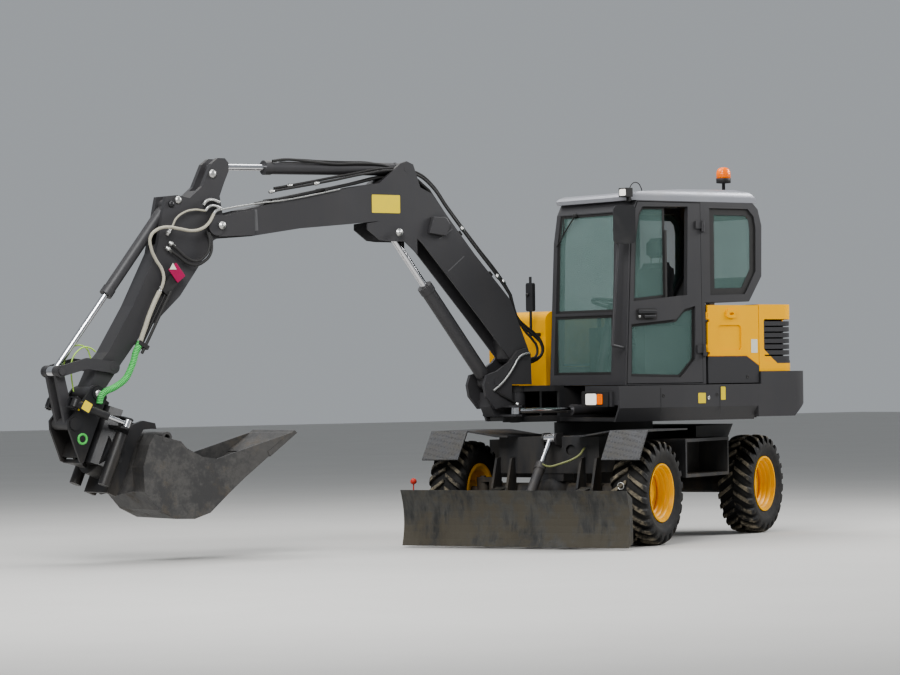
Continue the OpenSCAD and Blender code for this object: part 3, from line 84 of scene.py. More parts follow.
world = bpy.data.worlds.new("soft_sky")
bpy.context.scene.world = world
world.use_nodes = True
world.node_tree.nodes["Background"].inputs["Color"].default_value = (0.80, 0.84, 0.88, 1)
world.node_tree.nodes["Background"].inputs["Strength"].default_value = 0.40
bpy.context.scene.view_settings.look = "AgX - Medium High Contrast"


class Value:
    """One output of a shader node; an expression on values adds its Math nodes."""

    def __init__(self, finish, socket):
        self.finish, self.socket = finish, socket

    def math(self, operation, *terms):
        return self.finish.node("ShaderNodeMath", {"operation": operation},
                                dict(enumerate(terms)))

    def __add__(self, other):
        return self.math("ADD", self, other)

    def __sub__(self, other):
        return self.math("SUBTRACT", self, other)

    def __rsub__(self, other):
        return self.math("SUBTRACT", other, self)

    def __mul__(self, other):
        return self.math("MULTIPLY", self, other)

    def __truediv__(self, other):
        return self.math("DIVIDE", self, other)

    def __gt__(self, other):
        return self.math("GREATER_THAN", self, other)

    def __lt__(self, other):
        return self.math("LESS_THAN", self, other)

    __radd__ = __add__
    __rmul__ = __mul__

    def top(self, other):
        return self.math("MAXIMUM", self, other)

    def low(self, other):
        return self.math("MINIMUM", self, other)


class Finish:
    """A surface finish: one material, and the nodes that its look is made of."""

    def __init__(self, name):
        self.material = bpy.data.materials.new(name)
        self.material.use_nodes = True
        self.tree = self.material.node_tree
        self.shader = self.tree.nodes["Principled BSDF"]

    def node(self, kind, settings=None, sockets=None, out=0):
        made = self.tree.nodes.new(kind)
        for key, value in (settings or {}).items():
            if key == "stops":
                ramp = made.color_ramp
                while len(ramp.elements) < len(value):
                    ramp.elements.new(0.5)
                for stop, (place, colour) in zip(ramp.elements, value):
                    stop.position = place
                    stop.color = colour if len(colour) == 4 else (*colour, 1)
            else:
                setattr(made, key, value)
        for key, value in (sockets or {}).items():
            if isinstance(value, Value):
                self.tree.links.new(value.socket, made.inputs[key])
            else:
                made.inputs[key].default_value = value
        return Value(self, made.outputs[out])

    def place(self, turn=(0, 0, 0), stretch=(1, 1, 1), move=(0, 0, 0)):
        """Object coordinates, moved, turned and stretched."""
        where = self.node("ShaderNodeTexCoord", out="Object")
        return self.node("ShaderNodeMapping", None,
                         {"Vector": where, "Rotation": turn, "Scale": stretch, "Location": move})

    def axis(self, letter):
        """One object coordinate, in metres."""
        return self.node("ShaderNodeSeparateXYZ", None, {0: self.place()}, letter)

    def facing(self, letter="Z"):
        """How far the surface faces along one axis."""
        normal = self.node("ShaderNodeTexCoord", out="Normal")
        return self.node("ShaderNodeSeparateXYZ", None, {0: normal}, letter)

    def noise(self, scale, detail=4.0, rough=0.55, **where):
        return self.node("ShaderNodeTexNoise", None,
                         {"Vector": self.place(**where), "Scale": scale, "Detail": detail,
                          "Roughness": rough})

    def bands(self, direction, scale, **where):
        """Even stripes, from 0 to 1."""
        return self.node("ShaderNodeTexWave", {"wave_type": "BANDS", "bands_direction": direction},
                         {"Vector": self.place(**where), "Scale": scale}, "Fac")

    def steps(self, value, low, high):
        """0 below low, 1 above high, and smooth between."""
        return self.node("ShaderNodeMapRange", {"interpolation_type": "SMOOTHSTEP"},
                         {"Value": value, "From Min": low, "From Max": high})

    def mix(self, share, first, second):
        """A colour between two colours."""
        pick = [c if isinstance(c, Value) else (*c, 1) for c in (first, second)]
        return self.node("ShaderNodeMix", {"data_type": "RGBA"}, {0: share, 6: pick[0], 7: pick[1]}, 2)

    def bump(self, height, distance, strength=1.0):
        return self.node("ShaderNodeBump", None,
                         {"Height": height, "Distance": distance, "Strength": strength})

    def set(self, **sockets):
        """Gives the shader its colour, roughness and other inputs."""
        for key, value in sockets.items():
            name = key.replace("_", " ").title().replace("Ior", "IOR")
            if isinstance(value, Value):
                self.tree.links.new(value.socket, self.shader.inputs[name])
            elif name in ("Base Color", "Emission Color"):
                self.shader.inputs[name].default_value = (*value, 1)
            else:
                self.shader.inputs[name].default_value = value
        return self.material


CHARCOAL = (0.046, 0.045, 0.048)


def coat_of_paint(name, colour, gloss, dust=0.5, dust_top=1.2, dust_colour=(0.16, 0.13, 0.09),
                  chips=0.35, primer=(0.30, 0.29, 0.28), charcoal_where=None):
    """Machine paint: a fine peel, faint fading, chips, and dust that lies low and on upper faces.

    It is plain charcoal where a function of the paint says so."""
    paint = Finish(name)
    broad = paint.noise(1.3, 3)
    fine = paint.noise(38, 5, 0.65)
    speck = paint.noise(210, 2)
    streak = paint.noise(9, 4, 0.6, stretch=(1, 1, 0.18))
    faded = paint.mix(paint.steps(broad, 0.35, 0.75) * 0.30, colour,
                      tuple(min(1, c * 1.22 + 0.012) for c in colour))
    chipped = paint.steps(fine * 0.6 + paint.noise(7, 3) * 0.4, 0.665, 0.70) * chips
    scuffed = paint.mix(chipped, faded, primer)
    low = paint.steps(dust_top - paint.axis("Z"), 0.0, dust_top)
    lying = paint.steps(paint.facing(), 0.45, 0.95) * 0.55
    cover = (low * 0.85 + lying + 0.10) * paint.steps(streak, 0.34, 0.72) * dust
    soiled = paint.mix(cover.low(0.92), scuffed, dust_colour)
    if charcoal_where:
        soiled = paint.mix(charcoal_where(paint), soiled, CHARCOAL)
    return paint.set(
        base_color=soiled,
        roughness=(gloss + cover * 0.45 + fine * 0.10).low(0.95),
        normal=paint.bump(fine * 0.5 + speck * 0.25 + cover * 0.8, 0.0012, 0.35))


def mottled(name, first, second, scale, rough_scale, rough_span, rough_low):
    """A plain finish: two colours and a roughness, each mottled by noise."""
    finish = Finish(name)
    return finish.set(base_color=finish.mix(finish.noise(scale), first, second),
                      roughness=finish.noise(rough_scale) * rough_span + rough_low)


floor_finish = Finish("pale_floor")
floor_finish.set(
    base_color=floor_finish.mix(floor_finish.noise(0.7, 3), (0.52, 0.51, 0.49), (0.58, 0.57, 0.55)),
    roughness=floor_finish.noise(3, 3) * 0.2 + 0.65)
floor_mesh = bpy.data.meshes.new("floor")
floor_mesh.from_pydata([(-60, -60, 0), (60, -60, 0), (60, 60, 0), (-60, 60, 0)], [], [(0, 1, 2, 3)])
floor_mesh.materials.append(floor_finish.material)
floor = bpy.data.objects.new("floor", floor_mesh)
bpy.context.scene.collection.objects.link(floor)


def added(name, mesh):
    """A new object of the scene."""
    piece = bpy.data.objects.new(name, mesh)
    bpy.context.scene.collection.objects.link(piece)
    return piece


def dress(finish, *names):
    """Gives CAD pieces their finish."""
    for name in names:
        for slot in nodes[name].material_slots:
            slot.material = finish


# Chassis, axles and knuckles.
# Welded steel plate, sprayed satin black, with grey-brown road dust baked on below.
CHASSIS_BLACK = (0.030, 0.030, 0.032)
chassis_paint = coat_of_paint("chassis_black", CHASSIS_BLACK, 0.50, dust=0.75, dust_top=0.95)
dress(chassis_paint, "chassis_frame", "front_axle", "rear_axle", "knuckle_left", "knuckle_right",
      "side_steps")


# Fenders and body sheets.
# Charcoal powder-coated sheet; the fenders' slopes are raised-pattern plate.
charcoal_paint = coat_of_paint("charcoal_paint", CHARCOAL, 0.42, dust=0.22, dust_top=1.0)
dress(charcoal_paint, "side_skirts", "counterweight", "cab_frame", "door_frame", "swing_post", "handrails")
boom_paint = coat_of_paint("boom_charcoal", CHARCOAL, 0.40, dust=0.28, dust_top=1.6, chips=0.5)
dress(boom_paint, "boom", "arm", "boom_barrel", "arm_barrel", "bucket_barrel", "swing_barrel",
      "blade_barrel", "link_arms", "bucket_link")
dress(chassis_paint, "revolving_frame")

# The fenders' plate has a raised pattern of short crossed bars, for grip.
fender_paint = Finish("fender_plate")
PATTERN_PITCH = 0.030
bar_wave = [fender_paint.bands("X", 1 / PATTERN_PITCH / 3.14, turn=(0, 0, math.radians(turn)))
            for turn in (45 + 26.65, -45 + 26.65)]
bars = fender_paint.steps(bar_wave[0] * bar_wave[1], 0.45, 0.75)
fender_dust = fender_paint.steps(fender_paint.noise(8, 5, 0.7), 0.38, 0.70)
fender_paint.set(
    base_color=fender_paint.mix((fender_dust * 0.45).low(0.9) * (1 - bars * 0.5), (0.036, 0.037, 0.041),
                                (0.10, 0.09, 0.07)),
    roughness=fender_dust * 0.25 + 0.42,
    normal=fender_paint.bump(bars, 0.0025, 0.9))
dress(fender_paint.material, "front_fenders")


# Tyres.
# Traction tyres in black rubber. Dried earth lies on the bars' faces, the grooves between them are
# dark, and the sidewalls are dull and nearly clean.
tyre_look = Finish("tyre_rubber")
tread_noise = tyre_look.noise(26, 6, 0.7)
reach = tyre_look.node("ShaderNodeAttribute", {"attribute_name": "reach"}, out="Fac")
on_bars = tyre_look.steps(reach, 0.374, 0.402)
earth = tyre_look.steps(tyre_look.noise(5, 4) * 0.4 + tread_noise * 0.6, 0.40, 0.62)
tyre_rubber = tyre_look.set(
    base_color=tyre_look.mix((earth * (on_bars * 0.95 + 0.06)).low(0.95), (0.010, 0.010, 0.011),
                             (0.260, 0.225, 0.165)),
    roughness=earth * on_bars * 0.15 + 0.72,
    normal=tyre_look.bump(tread_noise, 0.003, 0.5))
dress(tyre_rubber, *[f"tyre_{end}_{side}" for end in ("front", "rear") for side in ("left", "right")])


# Rims.
# Pressed steel discs welded into rolled rims, sprayed yellow, with dust in the well.
YELLOW = (0.88, 0.43, 0.002)
rim_paint = coat_of_paint("rim_yellow", YELLOW, 0.36, dust=0.35, dust_top=0.75, chips=0.5,
                          dust_colour=(0.20, 0.15, 0.08))
dress(rim_paint, *[f"rim_{end}_{side}" for end in ("front", "rear") for side in ("left", "right")])


# Wheels.
# Traction tyres on pressed rims: each tyre is a turned carcass with two rows of slanting bars that
# run from the middle of the tread down over the shoulder. The nuts hold the rim's disc to the hub.
TURN = math.radians(26.65)
AXLES = {"front": 0.911, "rear": -1.189}
WHEEL_OUT = 0.792
WHEEL_UP = 0.408
SLEW_AT = Vector((-1.6366, -0.0444, 0))
TREAD_R = 0.408
BAR_COUNT = 24
CARCASS = ((-0.110, 0.2215), (-0.124, 0.236), (-0.128, 0.258), (-0.142, 0.285), (-0.150, 0.310),
           (-0.146, 0.332), (-0.134, 0.350), (-0.110, 0.366), (-0.060, 0.373), (0, 0.375),
           (0.060, 0.373), (0.110, 0.366), (0.134, 0.350), (0.146, 0.332), (0.150, 0.310),
           (0.142, 0.285), (0.128, 0.258), (0.124, 0.236), (0.110, 0.2215))
RIM_STEPS = ((0.1275, 0.226), (0.1285, 0.222), (0.1265, 0.2185), (0.118, 0.214), (0.104, 0.2085),
             (0.100, 0.202), (0.098, 0.193), (0.070, 0.1905), (0.064, 0.187), (0.062, 0.180),
             (0.036, 0.1775), (0.031, 0.173), (0.029, 0.160), (0.020, 0.158), (0.010, 0.1575),
             (0.018, 0.196), (0.090, 0.204), (0.110, 0.220))


def chassis_point(x, y, z):
    """A place given along and across the chassis, in metres, in the machine's frame."""
    return SLEW_AT + Vector((x * math.cos(TURN) - y * math.sin(TURN),
                             x * math.sin(TURN) + y * math.cos(TURN), z))


def make(name, points, faces, finish, body, slot, smooth=True, matrix=None):
    """A finished piece from its corners and faces, riding on its body."""
    mesh = bpy.data.meshes.new(name)
    mesh.from_pydata([tuple(p) for p in points], [], faces)
    shape = bmesh.new()
    shape.from_mesh(mesh)
    bmesh.ops.remove_doubles(shape, verts=shape.verts, dist=1e-6)
    bmesh.ops.recalc_face_normals(shape, faces=shape.faces)
    shape.to_mesh(mesh)
    shape.free()
    if matrix is not None:
        mesh.transform(matrix)
    for face in mesh.polygons:
        face.use_smooth = smooth
    mesh.materials.append(finish)
    piece = added(name, mesh)
    if body:
        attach(piece, body)
    return piece


def settle(piece):
    """Turns what the piece's modifiers make into its plain mesh."""
    bpy.context.view_layer.update()
    graph = bpy.context.evaluated_depsgraph_get()
    made = bpy.data.meshes.new_from_object(piece.evaluated_get(graph))
    piece.modifiers.clear()
    piece.data = made
    return piece


def node_tree(name, *inputs):
    """An empty tree of geometry nodes with named inputs, and the identifier of each."""
    tree = bpy.data.node_groups.new(name, "GeometryNodeTree")
    tree.interface.new_socket("Geometry", in_out="INPUT", socket_type="NodeSocketGeometry")
    names = {label: tree.interface.new_socket(label, in_out="INPUT",
                                              socket_type="NodeSocket" + kind).identifier
             for label, kind in inputs}
    tree.interface.new_socket("Geometry", in_out="OUTPUT", socket_type="NodeSocketGeometry")
    return tree, names, tree.nodes.new("NodeGroupInput"), tree.nodes.new("NodeGroupOutput")


def ring_tree():
    """Copies a shape evenly round the Y axis."""
    tree, names, given, out = node_tree("round_ring", ("Count", "Int"), ("Start", "Float"),
                                        ("Finish", "Material"))
    new, link = tree.nodes.new, tree.links.new
    points, index, turn, combine = (new(kind) for kind in (
        "GeometryNodeMeshLine", "GeometryNodeInputIndex", "ShaderNodeMath", "ShaderNodeCombineXYZ"))
    step, rotation, copies = (new(kind) for kind in (
        "ShaderNodeMath", "FunctionNodeEulerToRotation", "GeometryNodeInstanceOnPoints"))
    real, finish = new("GeometryNodeRealizeInstances"), new("GeometryNodeSetMaterial")
    points.inputs["Offset"].default_value = (0, 0, 0)
    step.operation, turn.operation = "DIVIDE", "MULTIPLY_ADD"
    step.inputs[0].default_value = 2 * math.pi
    link(given.outputs["Count"], points.inputs["Count"])
    link(given.outputs["Count"], step.inputs[1])
    link(index.outputs[0], turn.inputs[0])
    link(step.outputs[0], turn.inputs[1])
    link(given.outputs["Start"], turn.inputs[2])
    link(turn.outputs[0], combine.inputs["Y"])
    link(combine.outputs[0], rotation.inputs[0])
    link(points.outputs[0], copies.inputs["Points"])
    link(given.outputs["Geometry"], copies.inputs["Instance"])
    link(rotation.outputs[0], copies.inputs["Rotation"])
    link(copies.outputs[0], real.inputs[0])
    link(real.outputs[0], finish.inputs["Geometry"])
    link(given.outputs["Finish"], finish.inputs["Material"])
    link(finish.outputs[0], out.inputs[0])
    return tree, names


RING, RING_INPUTS = ring_tree()


def ring(piece, count, finish, start=0.0):
    """Sets the piece's copies in a ring round the Y axis."""
    modifier = piece.modifiers.new("ring", "NODES")
    modifier.node_group = RING
    for label, value in (("Count", count), ("Start", start), ("Finish", finish)):
        modifier[RING_INPUTS[label]] = value
    return settle(piece)


def turned(profile, count, closed=False):
    """Corners and faces of a profile of [along the Y axis, radius], turned round that axis."""
    points, faces, n = [], [], len(profile)
    for k in range(count):
        angle = 2 * math.pi * k / count
        points += [(r * math.sin(angle), y, r * math.cos(angle)) for y, r in profile]
    for k in range(count):
        here, there = k * n, (k + 1) % count * n
        faces += [(here + i, here + (i + 1) % n, there + (i + 1) % n, there + i)
                  for i in range(n if closed else n - 1)]
    return points, faces


def store_reach(piece):
    """Keeps each corner's distance from the wheel's axis, for the rubber's finish."""
    reach = piece.data.attributes.new("reach", "FLOAT", "POINT")
    for corner, kept in zip(piece.data.vertices, reach.data):
        kept.value = math.hypot(corner.co.x, corner.co.z)


def joined(name, *pieces):
    """One piece of several, in the first one's place."""
    shape = bmesh.new()
    for piece in pieces:
        shape.from_mesh(piece.data)
    shape.to_mesh(pieces[0].data)
    shape.free()
    for piece in pieces[1:]:
        bpy.data.objects.remove(piece)
    pieces[0].name = name
    return pieces[0]


def tread_bar(row):
    """One bar of the tread, from the middle of the tyre over its shoulder."""
    stations = ((0.004, 0.400, 0.368, 0.014), (0.012, TREAD_R, 0.366, 0.017),
                (0.050, TREAD_R, 0.364, 0.018), (0.092, 0.4055, 0.358, 0.019),
                (0.123, 0.397, 0.348, 0.021), (0.1375, 0.382, 0.338, 0.023),
                (0.1470, 0.359, 0.326, 0.023), (0.1490, 0.334, 0.318, 0.018))
    points, faces = [], []
    for out, top, foot, half in stations:
        lead = (out * math.tan(math.radians(40)) * (1 - 1.1 * out)) / top
        for radius, side in ((foot, -1.18), (top, -0.86), (top, 0.86), (foot, 1.18)):
            angle = lead + side * half / top
            points.append((radius * math.sin(angle), row * out, radius * math.cos(angle)))
    for k in range(len(stations) - 1):
        faces += [(4 * k + i, 4 * k + (i + 1) % 4, 4 * k + 4 + (i + 1) % 4, 4 * k + 4 + i)
                  for i in range(4)]
    faces += [(0, 1, 2, 3), tuple(4 * len(stations) - 4 + i for i in (3, 2, 1, 0))]
    return points, faces


for end, along in AXLES.items():
    for side_name, side in (("left", 1), ("right", -1)):
        body = f"wheel_{end}_{side_name}"
        hub = chassis_point(along, side * WHEEL_OUT, WHEEL_UP)
        place = Matrix.Translation(hub) @ Matrix.Rotation(TURN, 4, "Z")
        carcass = make(f"tread_{end}_{side_name}", *turned(CARCASS, 96, True), tyre_rubber, None, None)
        rows = []
        for row in (1, -1):
            bar = make(f"bar_{row}", *tread_bar(row), tyre_rubber, None, None, smooth=False)
            soften = bar.modifiers.new("soften", "BEVEL")
            soften.width, soften.segments = 0.003, 1
            rows.append(ring(settle(bar), BAR_COUNT, tyre_rubber, (row + 1) * math.pi / 2 / BAR_COUNT))
        tyre = joined(f"tread_{end}_{side_name}", carcass, *rows)
        store_reach(tyre)
        tyre.data.transform(place)
        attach(tyre, body)
        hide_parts(f"tyre_{end}_{side_name}")
        liner = make(f"rim_steps_{end}_{side_name}",
                     *turned([(side * y, r) for y, r in RIM_STEPS], 64, True), rim_paint, None, None)
        liner.data.transform(place)
        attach(liner, body)
        nut_profile = ((-0.0165, 0.0), (-0.0165, 0.0145), (0.004, 0.0145), (0.008, 0.011), (0.008, 0.007),
                       (0.018, 0.007), (0.019, 0.0))
        points, faces = turned(nut_profile, 6)
        nut = make(f"wheel_nuts_{end}_{side_name}", [(x, side * y, z + 0.097) for x, y, z in points],
                   faces, rim_paint, None, None, smooth=False)
        nuts = ring(nut, 8, rim_paint)
        nuts.data.transform(place)
        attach(nuts, body)


# Blade and bucket.
# Bare plate: the paint has gone from the working faces, which soil has polished and stained.
def worn_plate(name, bare, left, soil, soil_top, streaks=(1, 1, 0.15)):
    plate = Finish(name)
    scrape = plate.noise(22, 6, 0.7, stretch=streaks)
    patch = plate.noise(2.6, 4, 0.6)
    grain = plate.noise(90, 4, 0.6)
    worn = plate.steps(patch * 0.6 + scrape * 0.4, 0.42, 0.58)
    low = plate.steps(soil_top - plate.axis("Z"), 0.0, soil_top)
    soiled = plate.steps(plate.noise(5, 5, 0.65) * 0.7 + scrape * 0.3 + low * 0.14, 0.52, 0.68)
    metal = plate.mix(worn, left, plate.mix(scrape, tuple(c * 0.6 for c in bare), bare))
    return plate.set(
        base_color=plate.mix(soiled * 0.8, metal, soil),
        metallic=worn * (1 - soiled) * 0.55,
        roughness=soiled * 0.35 + grain * 0.20 + 0.36,
        normal=plate.bump(grain * 0.4 + soiled * 0.8 + scrape * 0.3, 0.0025, 0.5))


dress(worn_plate("blade_plate", (0.11, 0.11, 0.105), (0.028, 0.028, 0.027), (0.070, 0.060, 0.042), 0.9),
      "dozer_blade")
dress(worn_plate("bucket_plate", (0.15, 0.145, 0.14), (0.050, 0.049, 0.049), (0.085, 0.070, 0.052), 0.5,
                 (1, 1, 1)), "bucket")


# Yellow covers.
# Moulded and pressed covers of the engine and of the tanks, in a warm yellow under clear gloss.
cover_paint = coat_of_paint("cover_yellow", YELLOW, 0.36, dust=0.10, dust_top=1.6, chips=0.12)
dress(cover_paint, "right_cover")


def two_tone(name, where):
    """The covers' yellow, with charcoal where a function of the paint says so."""
    return coat_of_paint(name, YELLOW, 0.36, dust=0.10, dust_top=1.6, chips=0.12, charcoal_where=where)


# The service door is charcoal below its slanting groove; the hood, at its rear corners' grilles.
dress(two_tone("service_two_tone", lambda paint: paint.steps(
    (1.466 - (paint.axis("X") * -1 - 2.4046).top(0) * 0.597) - paint.axis("Z"), 0.0, 0.001)),
    "service_door")
dress(two_tone("hood_two_tone", lambda paint: (
    paint.steps(1.752 - paint.axis("Z"), 0.0, 0.002)
    * paint.steps(paint.axis("Z") - (1.525 - (paint.axis("X") * -1 - 2.5866) * 0.836).top(1.405),
                  0.0, 0.002)
    * paint.steps(paint.axis("X") * -1 - 2.5886, 0.0, 0.002))), "engine_hood")


# Cab roof.
# A moulded lid in pale silver grey, with the paint's flakes just visible.
roof_paint = Finish("roof_silver")
roof_soil = roof_paint.steps(roof_paint.noise(3, 5, 0.6), 0.45, 0.75)
roof_paint.set(
    base_color=roof_paint.mix(roof_soil * 0.35, (0.33, 0.335, 0.36), (0.22, 0.21, 0.19)),
    metallic=0.35,
    roughness=roof_soil * 0.2 + 0.32,
    normal=roof_paint.bump(roof_paint.noise(240, 2), 0.0006, 0.25))
dress(roof_paint.material, "cab_roof")


# Glass.
# Toughened, slightly green, 6 mm thick, with a patchy film of dust.
pane = Finish("cab_pane")
film = pane.steps(pane.noise(4, 5, 0.6), 0.45, 0.85)
pane.set(base_color=(0.16, 0.25, 0.23), roughness=film * 0.10 + 0.03, alpha=film * 0.10 + 0.36,
         ior=1.5)
pane.material.surface_render_method = "BLENDED"
dress(pane.material, "cab_glass", "door_glass")


# Piston rods.
# Hard-chromed steel with a thin film of oil and fine lengthwise scratches.
rod_chrome = Finish("rod_chrome")
oil = rod_chrome.noise(30, 4)
rod_chrome.set(base_color=rod_chrome.mix(oil, (0.62, 0.62, 0.64), (0.78, 0.78, 0.80)), metallic=1.0,
               roughness=oil * 0.14 + 0.10, normal=rod_chrome.bump(rod_chrome.noise(300, 2), 0.0004, 0.2))
dress(rod_chrome.material, "blade_rod", "swing_rod", "boom_rod", "arm_rod", "bucket_rod",
      "tilt_rod_left", "tilt_rod_right")


# Tool head.
# Cast and welded, in a deep satin black with an oily sheen and dust that lies low and on its upper faces.
head_paint = coat_of_paint("tool_head_black", (0.016, 0.016, 0.018), 0.34, dust=0.35, dust_top=1.3)
dress(head_paint, "tilt_bracket", "rotor_housing", "tilt_barrel_left", "tilt_barrel_right", "coupler")


# Engine block.
# Cast iron, painted dark grey, oily and dusty.
dress(coat_of_paint("engine_grey", (0.06, 0.06, 0.062), 0.55, dust=0.6, dust_top=2.5), "engine_block")


# Cab interior, mirrors and lamps.
# Moulded black plastic with a fine grain; the lamps' amber plastic has fine ribs and glows a little.
plastic_look = Finish("black_plastic")
grain = plastic_look.noise(420, 3)
worn_plastic = plastic_look.steps(plastic_look.noise(5, 4), 0.45, 0.75)
black_plastic = plastic_look.set(
    base_color=plastic_look.mix(worn_plastic * 0.5, (0.022, 0.022, 0.024), (0.055, 0.053, 0.050)),
    roughness=worn_plastic * 0.15 + 0.48, normal=plastic_look.bump(grain, 0.0006, 0.4))
dress(black_plastic, "mirrors", "cab_controls", "seat")
lamp_look = Finish("lamp_parts")
ribs = lamp_look.bands("Z", 24.0)
lit = lamp_look.mix(lamp_look.noise(14), (0.88, 0.19, 0.010), (0.78, 0.15, 0.012))
amber = lamp_look.set(base_color=lit, roughness=ribs * 0.08 + 0.16, emission_color=lit,
                      emission_strength=0.30, normal=lamp_look.bump(ribs, 0.002, 0.5))
dress(amber, "lamps")


# Trim's helpers, first needed by the glass seals.
# Plates, turned pieces, hoses and scattered bolts; all are made in the machine's frame.
def upper(x, y, z):
    """A place in the upper body: along the boom and across it from the slewing axis, in metres."""
    return SLEW_AT + Vector((x, y, z))


def traced(places):
    """Points of the upper body from their numbers."""
    return [upper(*place) for place in places]


def rounded(width, height, radius, steps=3):
    """Corners of a rectangle with round corners, about its middle."""
    corners = []
    for quarter, (a, b) in enumerate(((1, 1), (-1, 1), (-1, -1), (1, -1))):
        for k in range(steps + 1):
            turn = math.pi / 2 * (quarter + k / steps)
            corners.append((a * (width / 2 - radius) + radius * math.cos(turn),
                            b * (height / 2 - radius) + radius * math.sin(turn)))
    return corners


LEFT = (Vector((-1, 0, 0)), Vector((0, 0, 1)))
AHEAD = (Vector((0, 1, 0)), Vector((0, 0, 1)))


def plate(name, outline, depth, at, sides, finish, body, slot, soften=0.0):
    """An outline of [across, up] at a place, thickened towards the side that it faces."""
    across, up_way = sides
    out = across.cross(up_way)
    n = len(outline)
    points = [at + across * a + up_way * b + out * d for d in (0, depth) for a, b in outline]
    faces = [tuple(range(n)), tuple(range(n, 2 * n))]
    faces += [(i, (i + 1) % n, n + (i + 1) % n, n + i) for i in range(n)]
    piece = make(name, points, faces, finish, None, None, smooth=False)
    if soften:
        bevel = piece.modifiers.new("soften", "BEVEL")
        bevel.width, bevel.segments, bevel.limit_method = soften, 2, "ANGLE"
        settle(piece)
    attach(piece, body)
    return piece


def spun(name, profile, at, ahead, finish, body, slot, count=20):
    """A turned piece: its profile of [along, radius], set at a place and pointing ahead."""
    turn = Vector((0, 1, 0)).rotation_difference(Vector(ahead)).to_matrix().to_4x4()
    return make(name, *turned(profile, count), finish, body, slot, matrix=Matrix.Translation(at) @ turn)


def hose(name, points, radius, finish, body, fine=6):
    """A smooth round hose through the points; it rides on one body, or on none."""
    line = bpy.data.curves.new(name, "CURVE")
    line.dimensions = "3D"
    line.bevel_depth, line.bevel_resolution, line.resolution_u = radius, 3, fine
    line.use_fill_caps = True
    spline = line.splines.new("BEZIER")
    spline.bezier_points.add(len(points) - 1)
    for knot, point in zip(spline.bezier_points, points):
        knot.co = point
        knot.handle_left_type = knot.handle_right_type = "AUTO"
    drawn = added(name + "_line", line)
    bpy.context.view_layer.update()
    mesh = bpy.data.meshes.new_from_object(drawn.evaluated_get(bpy.context.evaluated_depsgraph_get()))
    bpy.data.objects.remove(drawn)
    mesh.materials.clear()
    mesh.materials.append(finish)
    for face in mesh.polygons:
        face.use_smooth = True
    piece = added(name, mesh)
    if body:
        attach(piece, body)
    return piece


def point_tree():
    """Copies a shape to each corner of a mesh, all turned one way."""
    tree, names, given, out = node_tree("at_points", ("Shape", "Object"), ("Turn", "Vector"),
                                        ("Finish", "Material"))
    new, link = tree.nodes.new, tree.links.new
    points, shape, turn = (new(kind) for kind in (
        "GeometryNodeMeshToPoints", "GeometryNodeObjectInfo", "FunctionNodeEulerToRotation"))
    copies, real, finish = (new(kind) for kind in (
        "GeometryNodeInstanceOnPoints", "GeometryNodeRealizeInstances", "GeometryNodeSetMaterial"))
    link(given.outputs["Geometry"], points.inputs[0])
    link(given.outputs["Shape"], shape.inputs["Object"])
    link(given.outputs["Turn"], turn.inputs[0])
    link(points.outputs[0], copies.inputs["Points"])
    link(shape.outputs["Geometry"], copies.inputs["Instance"])
    link(turn.outputs[0], copies.inputs["Rotation"])
    link(copies.outputs[0], real.inputs[0])
    link(real.outputs[0], finish.inputs["Geometry"])
    link(given.outputs["Finish"], finish.inputs["Material"])
    link(finish.outputs[0], out.inputs[0])
    return tree, names


SCATTER, SCATTER_INPUTS = point_tree()


def bolts(name, places, ahead, radius, finish, body):
    """Hexagon bolts with washers at the places, their heads pointing ahead."""
    profile = ((0, 0), (0, radius * 1.5), (radius * 0.3, radius * 1.5), (radius * 0.3, radius),
               (radius, radius), (radius * 1.15, radius * 0.8), (radius * 1.15, 0))
    bolt = make(name + "_head", *turned(profile, 6), finish, None, None, smooth=False)
    mesh = bpy.data.meshes.new(name)
    mesh.from_pydata([tuple(p) for p in places], [], [])
    piece = added(name, mesh)
    modifier = piece.modifiers.new("scatter", "NODES")
    modifier.node_group = SCATTER
    for label, value in (
            ("Shape", bolt), ("Finish", finish),
            ("Turn", Vector((0, 1, 0)).rotation_difference(Vector(ahead)).to_euler())):
        modifier[SCATTER_INPUTS[label]] = value
    settle(piece)
    bpy.data.objects.remove(bolt)
    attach(piece, body)
    return piece


steel_look = Finish("bright_steel")
rubbed = steel_look.noise(60, 4)
bright_steel = steel_look.set(
    base_color=steel_look.mix(rubbed, (0.42, 0.42, 0.41), (0.62, 0.62, 0.60)), metallic=0.9,
    roughness=rubbed * 0.25 + 0.24)
rubber_look = Finish("dark_rubber")
scuff = rubber_look.noise(30, 5, 0.6)
dark_rubber = rubber_look.set(
    base_color=rubber_look.mix(scuff, (0.012, 0.012, 0.013), (0.040, 0.038, 0.036)),
    roughness=scuff * 0.2 + 0.55,
    normal=rubber_look.bump(rubber_look.noise(300, 2), 0.0006, 0.3))


# Glass seals.
# A black rubber strip, or a printed black band on the quarter windows, follows each pane's outline
# on its outer side.
CAB_MIDDLE = upper(-0.2, 0.415, 2.0)
SEAL_WIDTH = 0.020
BAND_WIDTH = 0.052


